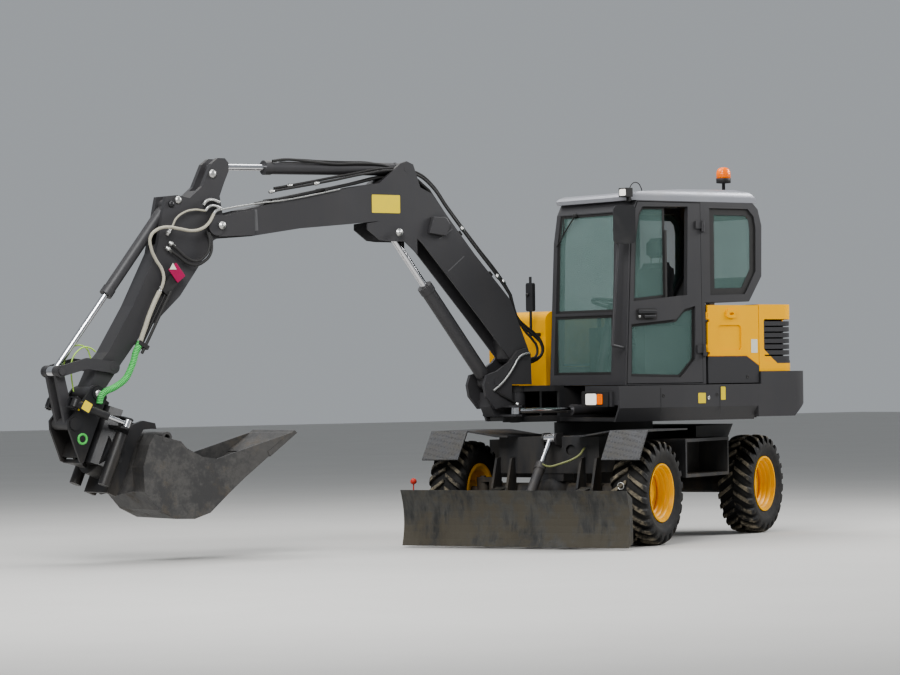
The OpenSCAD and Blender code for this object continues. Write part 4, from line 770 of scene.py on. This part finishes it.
def panes(name):
    """The outer outline of each pane of a glass node, with the way it faces."""
    shape = bmesh.new()
    shape.from_mesh(nodes[name].data)
    bmesh.ops.remove_doubles(shape, verts=shape.verts, dist=1e-5)
    left = dict.fromkeys(shape.faces)  # a dict keeps their order, so each run names the panes alike
    while left:
        island = [left.popitem()[0]]
        for face in island:
            for edge in face.edges:
                for other in edge.link_faces:
                    if other in left:
                        del left[other]
                        island.append(other)
        middle = sum((face.calc_center_median() * face.calc_area() for face in island), Vector())
        middle /= sum(face.calc_area() for face in island)
        widest = max(island, key=lambda face: sum(
            other.calc_area() for other in island if other.normal.dot(face.normal) > 0.8))
        facing = widest.normal if (middle - CAB_MIDDLE).dot(widest.normal) > 0 else -widest.normal
        outer = [face for face in island if face.normal.dot(facing) > 0.8]
        inside = set(outer)
        follow = {}
        for face in outer:
            for loop in face.loops:
                if all(other is face or other not in inside for other in loop.edge.link_faces):
                    follow[loop.vert] = loop.link_loop_next.vert
        start = corner = next(iter(follow))
        outline = []
        while corner in follow and len(outline) <= len(follow):
            outline.append(corner.co.copy())
            corner = follow[corner]
            if corner is start:
                break
        yield outline, facing.copy()
    shape.free()


def seal(name, outline, facing, width, lift, body):
    """A strip along a pane's outline, from its edge inwards."""
    n = len(outline)
    inner = []
    for k in range(n):
        before = (outline[k] - outline[k - 1]).normalized()
        after = (outline[(k + 1) % n] - outline[k]).normalized()
        way = facing.cross(before) + facing.cross(after)
        inner.append(outline[k] + way * width / max(0.3, 1 + before.dot(after)))
    points = outline + [p + facing * lift for p in outline] + [p + facing * lift for p in inner] + inner
    faces = [(j * n + k, j * n + (k + 1) % n, (j + 1) * n + (k + 1) % n, (j + 1) * n + k)
             for j in range(3) for k in range(n)]
    return make(name, points, faces, dark_rubber, body, "hose_rubber", smooth=False)


for name, body in (("cab_glass", "upper"), ("door_glass", "cab_door")):
    for k, (outline, facing) in enumerate(panes(name)):
        quarter = abs(facing.y) > 0.9 and outline[0].x < upper(-0.38, 0, 0).x
        seal(f"{name}_seal_{k}", outline, facing, BAND_WIDTH if quarter else SEAL_WIDTH, 0.0035, body)


# Cab's outer fittings.
# The door's recessed handle and lock, the wiper, the sill's bolts and the work lamp's cable.
DOOR_FACE = 0.904
HANDLE_AT = upper(0.265, DOOR_FACE, 1.802)
plate("handle_pocket", rounded(0.205, 0.088, 0.016), 0.003, HANDLE_AT, LEFT, dark_rubber, "cab_door",
      "black_plastic")
plate("handle_frame", rounded(0.190, 0.030, 0.012), 0.014, HANDLE_AT + Vector((0, 0, 0.020)), LEFT,
      black_plastic, "cab_door", "black_plastic", 0.004)
plate("handle_grip", rounded(0.120, 0.022, 0.009), 0.020, HANDLE_AT + Vector((-0.02, 0, -0.018)), LEFT,
      black_plastic, "cab_door", "black_plastic", 0.005)
spun("handle_lock", ((0, 0), (0, 0.010), (0.006, 0.010), (0.008, 0.007), (0.008, 0)),
     HANDLE_AT + Vector((0.078, 0.003, -0.018)), (0, 1, 0), bright_steel, "cab_door", "chrome")
bolts("sill_bolts", [upper(0.463, y, 1.278) for y in (-0.010, 0.338, 0.680)], (1, 0, 0), 0.009,
      bright_steel, "upper")
WIPER = (upper(0.408, 0.185, 2.607), upper(0.424, 0.040, 2.453), upper(0.434, -0.028, 2.367))
hose("wiper_arm", WIPER[:2], 0.006, dark_rubber, "upper")
hose("wiper_blade", (WIPER[1] + Vector((0, 0.02, 0.16)), WIPER[1], WIPER[2]), 0.005, dark_rubber,
     "upper")
spun("wiper_motor", ((-0.03, 0), (-0.03, 0.018), (0.012, 0.018), (0.016, 0.012), (0.016, 0)), WIPER[0],
     (1, 0, 0), dark_rubber, "upper", "black_plastic")
hose("lamp_cable", (upper(0.384, 0.85, 2.785), upper(0.345, 0.85, 2.835), upper(0.296, 0.85, 2.838),
                    upper(0.262, 0.85, 2.800), upper(0.253, 0.85, 2.772)), 0.004, dark_rubber,
     "upper")


# Labels, locks and seams.
# Blank yellow and white labels where the photograph has printed ones, small keyholes in the sill
# and in the service door, and a bright plug in the sill.
label_yellow = mottled("label_yellow", (0.80, 0.62, 0.03), (0.70, 0.55, 0.06), 20, 8, 0.2, 0.35)
label_white = mottled("label_white", (0.72, 0.72, 0.60), (0.60, 0.60, 0.52), 20, 8, 0.2, 0.35)
SILL_FACE = 0.9155
SERVICE_FACE = 0.9005
BOOM_FACE = 0.0955
for name, width, height, at, finish, body in (
        ("boom_label", 0.264, 0.140, upper(2.187, BOOM_FACE, 2.672), label_yellow, "boom"),
        ("sill_label_square", 0.078, 0.082, upper(-0.2795, SILL_FACE, 1.1346), label_yellow, "upper"),
        ("sill_label_tall", 0.048, 0.105, upper(-0.501, SILL_FACE, 1.170), label_yellow, "upper"),
        ("service_label", 0.068, 0.110, upper(-0.8491, SERVICE_FACE, 1.546), label_white, "service_door")):
    plate(name, rounded(width, height, 0.006), 0.0008, at, LEFT, finish, body, "painted_yellow")
KEYHOLE = ((0, 0), (0, 0.014), (0.002, 0.014), (0.002, 0.009), (0.0005, 0.008), (0.0005, 0))
for k, (at, body) in enumerate(((upper(0.116, SILL_FACE, 1.159), "upper"),
                                (upper(-0.438, SILL_FACE, 1.161), "upper"),
                                (upper(-0.7733, SERVICE_FACE, 1.299), "service_door"))):
    spun(f"keyhole_{k}", KEYHOLE, at, (0, 1, 0), dark_rubber, body, "black_plastic")
spun("sill_plug", KEYHOLE, upper(-0.350, SILL_FACE, 1.135), (0, 1, 0), bright_steel, "upper", "chrome")


# Hoses at the boom's tip.
# Steel elbows at the end of the boom's pipes, then loops of hose that cross the joint to the arm:
# one pale hose down to the valve block, a thin one behind it, and two black ones in a low loop.
hose_look = Finish("pale_hose")
braid = hose_look.noise(70, 4)
pale_hose = hose_look.set(
    base_color=hose_look.mix(braid, (0.30, 0.28, 0.22), (0.44, 0.42, 0.35)),
    roughness=braid * 0.2 + 0.5, normal=hose_look.bump(braid, 0.001, 0.4))
for name, radius, finish, route in (
        ("valve_feed_hose", 0.0125, pale_hose, (
            (3.757, 0.110, 2.565), (3.818, 0.135, 2.494), (3.896, 0.160, 2.450), (3.997, 0.180, 2.433),
            (4.104, 0.185, 2.446), (4.215, 0.180, 2.456), (4.296, 0.170, 2.429), (4.334, 0.160, 2.380),
            (4.325, 0.150, 2.305), (4.280, 0.145, 2.216), (4.236, 0.150, 2.149), (4.222, 0.155, 2.089),
            (4.231, 0.155, 2.036), (4.255, 0.150, 1.984))),
        ("thin_loop_hose", 0.008, pale_hose, (
            (3.828, 0.110, 2.587), (3.864, 0.115, 2.590), (3.940, 0.120, 2.592), (4.031, 0.125, 2.567),
            (4.094, 0.125, 2.521), (4.117, 0.120, 2.475), (4.157, 0.115, 2.417))),
        ("low_loop_hose_a", 0.011, dark_rubber, (
            (4.163, 0.120, 2.301), (4.074, 0.130, 2.242), (4.011, 0.140, 2.197), (3.944, 0.145, 2.181),
            (3.869, 0.140, 2.206), (3.801, 0.130, 2.268), (3.785, 0.120, 2.352), (3.803, 0.110, 2.428))),
        ("low_loop_hose_b", 0.011, dark_rubber, (
            (4.137, 0.120, 2.339), (4.073, 0.130, 2.284), (4.011, 0.140, 2.233), (3.935, 0.145, 2.211),
            (3.864, 0.140, 2.242), (3.814, 0.130, 2.302), (3.802, 0.120, 2.370), (3.821, 0.110, 2.435)))):
    piece = hose(name, traced(route), radius, finish, None)
    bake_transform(piece)
for name, route, radius in (
        ("tip_elbow_a", (
            (3.845, 0.110, 2.632), (3.829, 0.120, 2.656), (3.774, 0.110, 2.671),
            (3.70, 0.100, 2.655)), 0.012),
        ("tip_elbow_b", (
            (3.828, 0.110, 2.587), (3.808, 0.120, 2.615), (3.748, 0.110, 2.627),
            (3.69, 0.100, 2.610)), 0.011),
        ("tip_elbow_c", (
            (3.757, 0.110, 2.565), (3.740, 0.108, 2.585), (3.705, 0.104, 2.600)), 0.013),
        ("boom_pipe", (
            (3.720, 0.104, 2.590), (3.646, 0.104, 2.606), (3.389, 0.104, 2.648),
            (3.083, 0.104, 2.688), (2.620, 0.104, 2.775)), 0.006)):
    hose(name, traced(route), radius, bright_steel, "boom")
FITTING = ((-0.020, 0), (-0.020, 0.013), (-0.004, 0.013), (-0.004, 0.017), (0.012, 0.017),
           (0.012, 0.013), (0.040, 0.013), (0.042, 0))
for k, (at, ahead) in enumerate((
        ((4.163, 0.120, 2.301), (-0.8, 0, -0.55)), ((4.137, 0.120, 2.339), (-0.8, 0, -0.55)),
        ((4.157, 0.115, 2.417), (-0.5, 0, 0.8)), ((4.255, 0.150, 1.984), (-0.35, 0, 0.9)))):
    spun(f"arm_fitting_{k}", FITTING, upper(*at), ahead, bright_steel, "arm", "chrome")


# Arm's left side.
# The valve block's magenta lid with its white corner, a white-wrapped bundle of hoses below it, and
# round steel caps on the pins of the cylinders.
magenta = mottled("lid_magenta", (0.30, 0.004, 0.060), (0.36, 0.010, 0.085), 12, 9, 0.2, 0.4)
LID = (Vector((-0.62, 0, -0.785)), Vector((-0.785, 0, 0.62)))
plate("valve_lid", rounded(0.125, 0.085, 0.006), 0.012, upper(4.112, 0.152, 2.122), LID, magenta,
      "arm", "painted_yellow", 0.002)
plate("valve_lid_corner", [(-0.030, -0.022), (0.030, -0.022), (0, 0.026)], 0.002,
      upper(4.148, 0.165, 2.168), LEFT, label_white, "arm", "roof_grey")
WRAP_ROUTE = ((4.255, 0.150, 1.984), (4.295, 0.150, 1.914), (4.327, 0.150, 1.849), (4.355, 0.148, 1.785),
              (4.377, 0.145, 1.722), (4.400, 0.142, 1.664), (4.418, 0.140, 1.610))
hose("white_wrap", traced(WRAP_ROUTE), 0.0185, pale_hose, "arm")
ARM_FACE = 0.0885
for k, p in enumerate(((4.052, ARM_FACE, 2.664), (4.112, ARM_FACE, 2.633))):
    spun(f"arm_pin_cap_{k}",
         ((0, 0), (0, 0.030 - 0.004 * k), (0.008, 0.028 - 0.004 * k), (0.016, 0.016), (0.019, 0)),
         upper(*p), (0, 1, 0), bright_steel if k == 0 else head_paint, "arm", "chrome")
spun("arm_top_cap", ((0, 0), (0, 0.034), (0.008, 0.031), (0.016, 0.018), (0.019, 0)),
     upper(3.751, ARM_FACE, 2.866), (0, 1, 0), bright_steel, "arm", "chrome")


# Tool hoses.
# A bundle in a green spiral sleeve from the arm to the tool head, and two thin lime hoses that loop
# up from the arm's edge.
sleeve = mottled("green_sleeve", (0.10, 0.55, 0.14), (0.17, 0.64, 0.20), 16, 16, 0.2, 0.40)
# The sleeve's green darkened as painted shade: the core under the spiral shows it between the turns.
shaded = mottled("green_sleeve_painted_shade", (0.035, 0.24, 0.055), (0.05, 0.30, 0.07), 16, 8, 0.1, 0.5)
lime = mottled("lime_hose", (0.38, 0.62, 0.10), (0.48, 0.72, 0.16), 20, 30, 0.1, 0.35)
SLEEVE_ROUTE = traced((
    (4.418, 0.140, 1.610), (4.464, 0.150, 1.537), (4.487, 0.160, 1.477), (4.526, 0.165, 1.398),
    (4.571, 0.170, 1.338), (4.656, 0.172, 1.285), (4.729, 0.170, 1.256), (4.768, 0.168, 1.221),
    (4.780, 0.166, 1.166)))
core = hose("green_sleeve_core", SLEEVE_ROUTE, 0.0200, shaded, None)


def coil(route, radius, pitch, per_turn=10):
    """Points of a spiral round a route of points."""
    spline = [route[0]]
    for k in range(len(route) - 1):
        a, b = route[max(0, k - 1)], route[k]
        c, d = route[k + 1], route[min(len(route) - 1, k + 2)]
        for i in range(1, 9):
            t = i / 8
            spline.append(0.5 * (2 * b + (c - a) * t + (2 * a - 5 * b + 4 * c - d) * t ** 2
                                 + (3 * b - a - 3 * c + d) * t ** 3))
    out, along = [], 0.0
    for k in range(len(spline) - 1):
        step = spline[k + 1] - spline[k]
        side = step.cross(Vector((0, 1, 0))).normalized()
        other = step.normalized().cross(side)
        count = max(1, round(step.length / pitch * per_turn))
        for i in range(count):
            turn = 2 * math.pi * (along + step.length * i / count) / pitch
            out.append(spline[k] + step * i / count + (side * math.cos(turn) + other * math.sin(turn)) * radius)
        along += step.length
    return out


spiral = hose("green_sleeve_spiral", coil(SLEEVE_ROUTE, 0.0212, 0.0125), 0.0042, sleeve, None,
              fine=1)
for piece in (core, spiral):
    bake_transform(piece)
for name, route in (
        ("lime_hose_a", (
            (4.727, 0.024, 1.545), (4.772, 0.024, 1.573), (4.826, 0.024, 1.579), (4.882, 0.024, 1.546),
            (4.914, 0.022, 1.505), (4.929, 0.020, 1.451), (4.927, 0.018, 1.367), (4.909, 0.016, 1.258))),
        ("lime_hose_b", (
            (4.737, -0.012, 1.451), (4.759, -0.012, 1.529), (4.776, -0.012, 1.564),
            (4.823, -0.012, 1.592), (4.878, -0.012, 1.589), (4.913, -0.012, 1.565),
            (4.970, -0.012, 1.463), (4.971, -0.012, 1.368), (4.952, -0.012, 1.265)))):
    piece = hose(name, traced(route), 0.0055, lime, None)
    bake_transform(piece)


# Tool head's trim.
# A blank yellow label on the head and a round cap on the bucket's pin.
HEAD_LEFT = (Vector((-0.86, 0, -0.50)), Vector((-0.50, 0, 0.86)))
plate("head_label", rounded(0.072, 0.072, 0.006), 0.0008, upper(4.955, 0.1525, 1.164),
      HEAD_LEFT, label_yellow, "tilt_bracket", "painted_yellow")
spun("bucket_pin_cap", ((0, 0), (0, 0.036), (0.005, 0.034), (0.005, 0.026), (0.010, 0.024), (0.012, 0)),
     upper(4.782, 0.1535, 1.241), (0, 1, 0), bright_steel, "tilt_bracket", "chrome")


# Blade's trim.
# A red flag on the far corner, a bent ring and a white strip at the near end, and the blade
# cylinder's pale hose, which runs back through the hole in the front plate.
red = mottled("marker_red", (0.55, 0.03, 0.02), (0.45, 0.05, 0.03), 9, 7, 0.2, 0.45)
hose("flag_stem", [chassis_point(1.535, -0.935, z) for z in (0.440, 0.470, 0.498)], 0.005, red,
     "blade")
spun("flag_head",
     ((-0.020, 0), (-0.020, 0.014), (-0.008, 0.026), (0.010, 0.024), (0.022, 0.012), (0.022, 0)),
     chassis_point(1.535, -0.935, 0.512), (0.4, 0.3, 1), red, "blade", "painted_black", 8)
RING_TURNS = [math.pi * (k / 6 - 0.35) for k in range(12)]
hose("blade_ring", [chassis_point(1.53, 0.850 + 0.026 * math.sin(a), 0.482 - 0.026 * math.cos(a))
                    for a in RING_TURNS], 0.004, bright_steel, "blade", 3)
BLADE_WAY = Vector((-math.sin(TURN), math.cos(TURN), 0))
plate("blade_strip", rounded(0.012, 0.085, 0.004), 0.0010, chassis_point(1.5992, 0.905, 0.325),
      (BLADE_WAY, Vector((0, 0, 1))), label_white, "blade", "roof_grey")
lime_pale = mottled("blade_hose_green", (0.28, 0.30, 0.12), (0.20, 0.21, 0.10), 30, 30, 0.2, 0.4)
BLADE_HOSE = [chassis_point(*p) for p in (
    (1.050, 0.325, 0.760), (1.085, 0.328, 0.745), (1.120, 0.318, 0.712), (1.150, 0.262, 0.672),
    (1.210, 0.190, 0.640), (1.270, 0.120, 0.622), (1.300, 0.075, 0.640))]
for name, route, a, b in (("blade_hose_back", BLADE_HOSE[:5], "chassis", "blade"),
                          ("blade_hose_front", BLADE_HOSE[4:], "blade", "blade_barrel")):
    piece = hose(name, route, 0.0085, lime_pale, None)
    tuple(route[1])
    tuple(route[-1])
    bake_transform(piece)


# Boom's hoses.
# Black hoses lie on the arm's cylinder and over the boom's top, with bright fittings; at the boom's
# foot they hang back in a loop, and a bent steel pipe and a hose run down to its cylinder.
for name, radius, body, finish, route in (
        ("arm_barrel_hose_a", 0.011, "arm_barrel", dark_rubber, (
            (3.190, 0.045, 2.980), (3.080, 0.050, 2.994), (2.860, 0.052, 2.984), (2.620, 0.052, 2.972),
            (2.400, 0.050, 2.982), (2.190, 0.045, 2.977), (2.090, 0.040, 2.955))),
        ("arm_barrel_hose_b", 0.009, "arm_barrel", dark_rubber, (
            (3.110, 0.020, 2.990), (2.980, 0.024, 2.997), (2.740, 0.022, 2.992), (2.500, 0.020, 2.992),
            (2.300, 0.020, 2.993), (2.150, 0.020, 2.972))),
        ("boom_side_hose_a", 0.010, "boom", dark_rubber, (
            (3.235, 0.084, 2.744), (3.140, 0.084, 2.762), (3.060, 0.083, 2.775), (2.700, 0.083, 2.838),
            (2.350, 0.083, 2.905), (2.110, 0.083, 2.935), (1.880, 0.083, 2.905), (1.745, 0.083, 2.820),
            (1.600, 0.084, 2.650), (1.330, 0.084, 2.350), (1.080, 0.084, 2.080), (0.985, 0.084, 1.960))),
        ("boom_side_hose_b", 0.010, "boom", dark_rubber, (
            (3.190, 0.060, 2.772), (3.060, 0.062, 2.794), (2.900, 0.062, 2.822), (2.500, 0.062, 2.895),
            (2.150, 0.062, 2.950), (1.870, 0.062, 2.925), (1.730, 0.062, 2.840), (1.580, 0.062, 2.665),
            (1.310, 0.062, 2.368), (1.060, 0.062, 2.100), (0.970, 0.062, 1.975))),
        ("boom_foot_pipe", 0.010, "swing_post", bright_steel, (
            (1.206, 0.135, 1.214), (1.155, 0.140, 1.250), (1.102, 0.142, 1.295), (1.050, 0.142, 1.350),
            (1.005, 0.142, 1.408), (0.966, 0.141, 1.462), (0.928, 0.140, 1.491), (0.851, 0.138, 1.509))),
        ("boom_foot_hose", 0.009, "swing_post", dark_rubber, (
            (1.178, 0.135, 1.213), (1.130, 0.140, 1.180), (1.085, 0.140, 1.159), (0.972, 0.138, 1.104)))):
    hose(name, traced(route), radius, finish, body)
for name, route in (
        ("foot_loop_a", (
            (0.970, 0.062, 1.975), (0.887, 0.040, 1.768), (0.790, 0.020, 1.700), (0.698, 0.010, 1.645),
            (0.625, 0.005, 1.575), (0.622, 0.000, 1.506), (0.700, 0.000, 1.461), (0.780, 0.000, 1.445))),
        ("foot_loop_b", (
            (0.985, 0.084, 1.960), (0.905, 0.060, 1.790), (0.812, 0.040, 1.683), (0.740, 0.035, 1.620),
            (0.690, 0.030, 1.555), (0.700, 0.030, 1.490), (0.770, 0.030, 1.460))),
        ("foot_loop_c", (
            (0.960, 0.030, 1.985), (0.870, 0.010, 1.800), (0.770, -0.010, 1.725),
            (0.680, -0.020, 1.672), (0.600, -0.025, 1.590), (0.590, -0.030, 1.515),
            (0.680, -0.030, 1.445), (0.780, -0.030, 1.430)))):
    piece = hose(name, traced(route), 0.010, dark_rubber, None)
    upper(*route[0])
    upper(*route[-1])
    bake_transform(piece)
for k, (at, ahead) in enumerate((
        ((1.455, 0.084, 2.490), (0.67, 0, 0.74)), ((1.115, 0.084, 2.118), (0.67, 0, 0.74)),
        ((1.040, 0.062, 2.078), (0.67, 0, 0.74)), ((2.820, 0.083, 2.817), (1, 0, -0.18)),
        ((3.050, 0.062, 2.796), (1, 0, -0.18)), ((3.225, 0.084, 2.746), (1, 0, -0.18)),
        ((0.972, 0.138, 1.104), (0.8, 0, 0.3)))):
    spun(f"boom_fitting_{k}",
         ((-0.022, 0), (-0.022, 0.0125), (-0.006, 0.0125), (-0.006, 0.0155), (0.010, 0.0155),
          (0.010, 0.0125), (0.024, 0.0125), (0.024, 0)),
         upper(*at), ahead, bright_steel, "boom" if k < 6 else "swing_post", "chrome", 12)


# Boom's welds and lamp.
# Ground weld bands where the boom's plates are joined, its work lamp, and round caps on two pins.
weld = coat_of_paint("weld_band", (0.105, 0.105, 0.108), 0.42, dust=0.20, dust_top=1.6, chips=0.4)
for name, width, a, b in (("tip_weld", 0.045, (3.388, 2.606), (3.380, 2.446)),
                          ("upper_weld", 0.008, (1.683, 2.409), (1.557, 2.488)),
                          ("lower_weld", 0.008, (1.604, 2.156), (1.445, 2.277))):
    side = Vector((b[0], 0, b[1])) - Vector((a[0], 0, a[1]))
    middle = upper((a[0] + b[0]) / 2, BOOM_FACE, (a[1] + b[1]) / 2)
    plate(name, rounded(width, side.length, 0.003), 0.0012, middle,
          (side.normalized().cross(Vector((0, 1, 0))) * -1, side.normalized()),
          weld, "boom", "painted_charcoal")
plate("boom_lamp", [(-0.10, -0.055), (0.06, -0.075), (0.10, 0.02), (0.06, 0.075), (-0.06, 0.075)], 0.038,
      upper(1.700, BOOM_FACE, 2.505), LEFT, boom_paint, "boom", "painted_charcoal", 0.006)
KEEPER = ((0, 0), (0, 0.030), (0.006, 0.030), (0.006, 0.020), (0.014, 0.018), (0.016, 0))
LUG_FACE = 0.1335
for name, x, z in (("boom_tip_keeper", 3.699, 2.480), ("lug_keeper", 2.092, 2.452)):
    spun(name, KEEPER, upper(x, LUG_FACE, z), (0, 1, 0), bright_steel, "boom", "chrome")


# Lamps.
# The beacon's round dome over its dark base, the head lamp's amber half beside the white one in
# their bezel, and the work lamp's lens.
lamps = bmesh.new()
lamps.from_mesh(nodes["lamps"].data)
bmesh.ops.delete(lamps, geom=[v for v in lamps.verts if v.co.z > 2.80 and v.co.x < upper(-0.6, 0, 0).x],
                 context="VERTS")
lamp_mesh = bpy.data.meshes.new("lamp_set")
lamps.to_mesh(lamp_mesh)
lamps.free()
lamp_mesh.materials.clear()
lamp_mesh.materials.append(dark_rubber)
lamp_set = added("lamp_set", lamp_mesh)
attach(lamp_set, "upper")
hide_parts("lamps")
BEACON_AT = upper(-0.702, 0.720, 2.806)
spun("beacon_base",
     ((0, 0), (0, 0.013), (0.058, 0.013), (0.062, 0.058), (0.098, 0.060), (0.100, 0.056), (0.100, 0)),
     BEACON_AT, (0, 0, 1), dark_rubber, "upper", "black_plastic", 32)
spun("beacon_dome",
     ((0.0985, 0), (0.0985, 0.0575), (0.140, 0.0575), (0.160, 0.054), (0.175, 0.045), (0.185, 0.030),
      (0.189, 0.014), (0.190, 0)),
     BEACON_AT, (0, 0, 1), amber, "upper", "lamp_orange", 32)
lens_look = Finish("white_lens")
lens_ribs = lens_look.bands("Y", 30.0)
white_lens = lens_look.set(
    base_color=lens_look.mix(lens_ribs, (0.80, 0.78, 0.72), (0.62, 0.60, 0.56)),
    roughness=lens_ribs * 0.1 + 0.14, emission_color=(1.0, 0.96, 0.88), emission_strength=0.55,
    normal=lens_look.bump(lens_ribs, 0.0008, 0.4))
for name, width, height, depth, at, finish in (
        ("head_bezel", 0.340, 0.125, 0.004, (0.5945, 0.650, 1.138), dark_rubber),
        ("head_lens", 0.135, 0.088, 0.006, (0.5985, 0.606, 1.137), white_lens),
        ("head_amber", 0.070, 0.082, 0.006, (0.5985, 0.716, 1.137), amber),
        ("work_lens", 0.080, 0.052, 0.003, (0.4805, 0.890, 2.757), white_lens)):
    plate(name, rounded(width, height, 0.012), depth, upper(*at), AHEAD, finish, "upper", "lamp_orange",
          0.002)


# Cab's small parts.
# The right mirror's glass and knuckle, the slider's bar in the door's window, and the sill's seams.
mirror_look = Finish("mirror_glass")
breath = mirror_look.noise(5, 3)
mirror_glass = mirror_look.set(
    base_color=mirror_look.mix(breath, (0.70, 0.72, 0.74), (0.60, 0.62, 0.64)), metallic=1.0,
    roughness=breath * 0.05 + 0.04)
BEHIND = (Vector((0, -1, 0)), Vector((0, 0, 1)))
plate("right_mirror_glass", rounded(0.078, 0.214, 0.014), 0.001, upper(0.5558, -0.225, 1.965), BEHIND,
      mirror_glass, "upper", "glass")
spun("right_mirror_knuckle", ((0, 0), (0, 0.016), (0.012, 0.014), (0.016, 0)),
     upper(0.584, -0.225, 1.985), (1, 0, 0), dark_rubber, "upper", "black_plastic", 16)
plate("slider_bar", rounded(0.022, 0.575, 0.004), 0.004, upper(0.058, 0.8935, 2.180), LEFT, dark_rubber,
      "cab_door", "black_plastic", 0.001)
for k, x in enumerate((0.143, -0.466)):
    plate(f"sill_seam_{k}", rounded(0.004, 0.215, 0.001), 0.0006, upper(x, SILL_FACE, 1.115), LEFT,
          dark_rubber, "upper", "painted_charcoal")


# Tool head's outer trim.
# A second blank label on its guard plate beside the tilt cylinder, and the green lifting eye.
GUARD_FACE = 0.2892
plate("head_label_plate", rounded(0.086, 0.086, 0.008), 0.003, upper(4.955, GUARD_FACE, 1.150),
      HEAD_LEFT, head_paint, "tilt_left_barrel", "painted_black")
plate("head_label_outer", rounded(0.070, 0.070, 0.006), 0.0008, upper(4.955, GUARD_FACE + 0.003, 1.150),
      HEAD_LEFT, label_yellow, "tilt_left_barrel", "painted_yellow")
EYE_TURNS = [2 * math.pi * k / 10 for k in range(11)]
green_eye = mottled("lifting_eye_green", (0.06, 0.50, 0.08), (0.10, 0.40, 0.10), 14, 20, 0.2, 0.4)
hose("lifting_eye", [upper(4.955 + 0.034 * math.cos(a), 0.222, 0.915 + 0.034 * math.sin(a))
                     for a in EYE_TURNS], 0.009, green_eye, "tilt_bracket", 3)


# Seat.
# Black cloth pads over a moulded base: each pad starts a little small and swells under a cloth
# simulation with air pressure, held to within SWELL_MOST of where it began.
cloth_look = Finish("seat_cloth")
weave = cloth_look.bands("DIAGONAL", 180.0)
rubbed_cloth = cloth_look.noise(6, 4)
seat_cloth = cloth_look.set(
    base_color=cloth_look.mix(rubbed_cloth, (0.030, 0.031, 0.034), (0.052, 0.052, 0.055)),
    roughness=rubbed_cloth * 0.1 + 0.80, normal=cloth_look.bump(weave, 0.0006, 0.5))
SEAT_AT = upper(-0.270, 0.415, 0)
CLOTH_FRAMES = 20
SWELL_MOST = 0.012
PAD_SLACK = 0.020


def pad(name, low, high, lean, voxel=0.010):
    """A padded cushion between two corners; its top is moved along X by lean."""
    shape = bmesh.new()
    bmesh.ops.create_cube(shape, size=1.0)
    middle, span = (low + high) / 2, high - low
    for corner in shape.verts:
        corner.co = Vector([middle[a] + corner.co[a] * (span[a] - PAD_SLACK) for a in range(3)])
        corner.co.x += lean * (corner.co.z - low.z) / span.z
    bmesh.ops.bevel(shape, geom=shape.edges[:], offset=min(span) * 0.32, segments=3, affect="EDGES")
    mesh = bpy.data.meshes.new(name)
    shape.to_mesh(mesh)
    shape.free()
    mesh.materials.append(seat_cloth)
    piece = added(name, mesh)
    remesh = piece.modifiers.new("even", "REMESH")
    remesh.mode, remesh.voxel_size = "VOXEL", voxel
    settle(piece)
    still = [corner.co.copy() for corner in piece.data.vertices]
    cloth = piece.modifiers.new("air", "CLOTH")
    cloth.settings.use_pressure = True
    cloth.settings.uniform_pressure_force = 4
    cloth.settings.quality = 4
    cloth.settings.effector_weights.gravity = 0
    for frame_number in range(1, CLOTH_FRAMES + 1):
        bpy.context.scene.frame_set(frame_number)
    settle(piece)
    bpy.context.scene.frame_set(1)
    for corner, rest in zip(piece.data.vertices, still):
        step = corner.co - rest
        corner.co = rest + step * min(1.0, SWELL_MOST / max(step.length, 1e-6))
    smooth = piece.modifiers.new("smooth", "SUBSURF")
    smooth.levels = 1
    settle(piece)
    for face in piece.data.polygons:
        face.use_smooth = True
    if not piece.data.materials:
        piece.data.materials.append(seat_cloth)
    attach(piece, "upper")
    return piece


pad("seat_pad", SEAT_AT + Vector((0, -0.240, 1.566)), SEAT_AT + Vector((0.460, 0.240, 1.688)), 0)
pad("seat_back", SEAT_AT + Vector((-0.005, -0.220, 1.660)), SEAT_AT + Vector((0.130, 0.220, 2.250)), -0.028)
pad("seat_head", SEAT_AT + Vector((-0.008, -0.120, 2.250)), SEAT_AT + Vector((0.085, 0.120, 2.440)), -0.006)
seat_base = plate("seat_base", rounded(0.400, 0.400, 0.040), 0.262, SEAT_AT + Vector((0.220, 0, 1.2965)),
                  (Vector((1, 0, 0)), Vector((0, 1, 0))), black_plastic, "upper", "black_plastic", 0.010)
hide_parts("seat")
for k, y in enumerate((-0.055, 0.055)):
    hose(f"seat_head_post_{k}", [SEAT_AT + Vector((0.040, y, z)) for z in (2.215, 2.245, 2.275)], 0.007,
         bright_steel, "upper")


# Hoses held in clamps.
# The pressure hoses along the boom's back and down the arm, in dusty black rubber.
dress(dark_rubber, "boom_hoses", "arm_hoses")
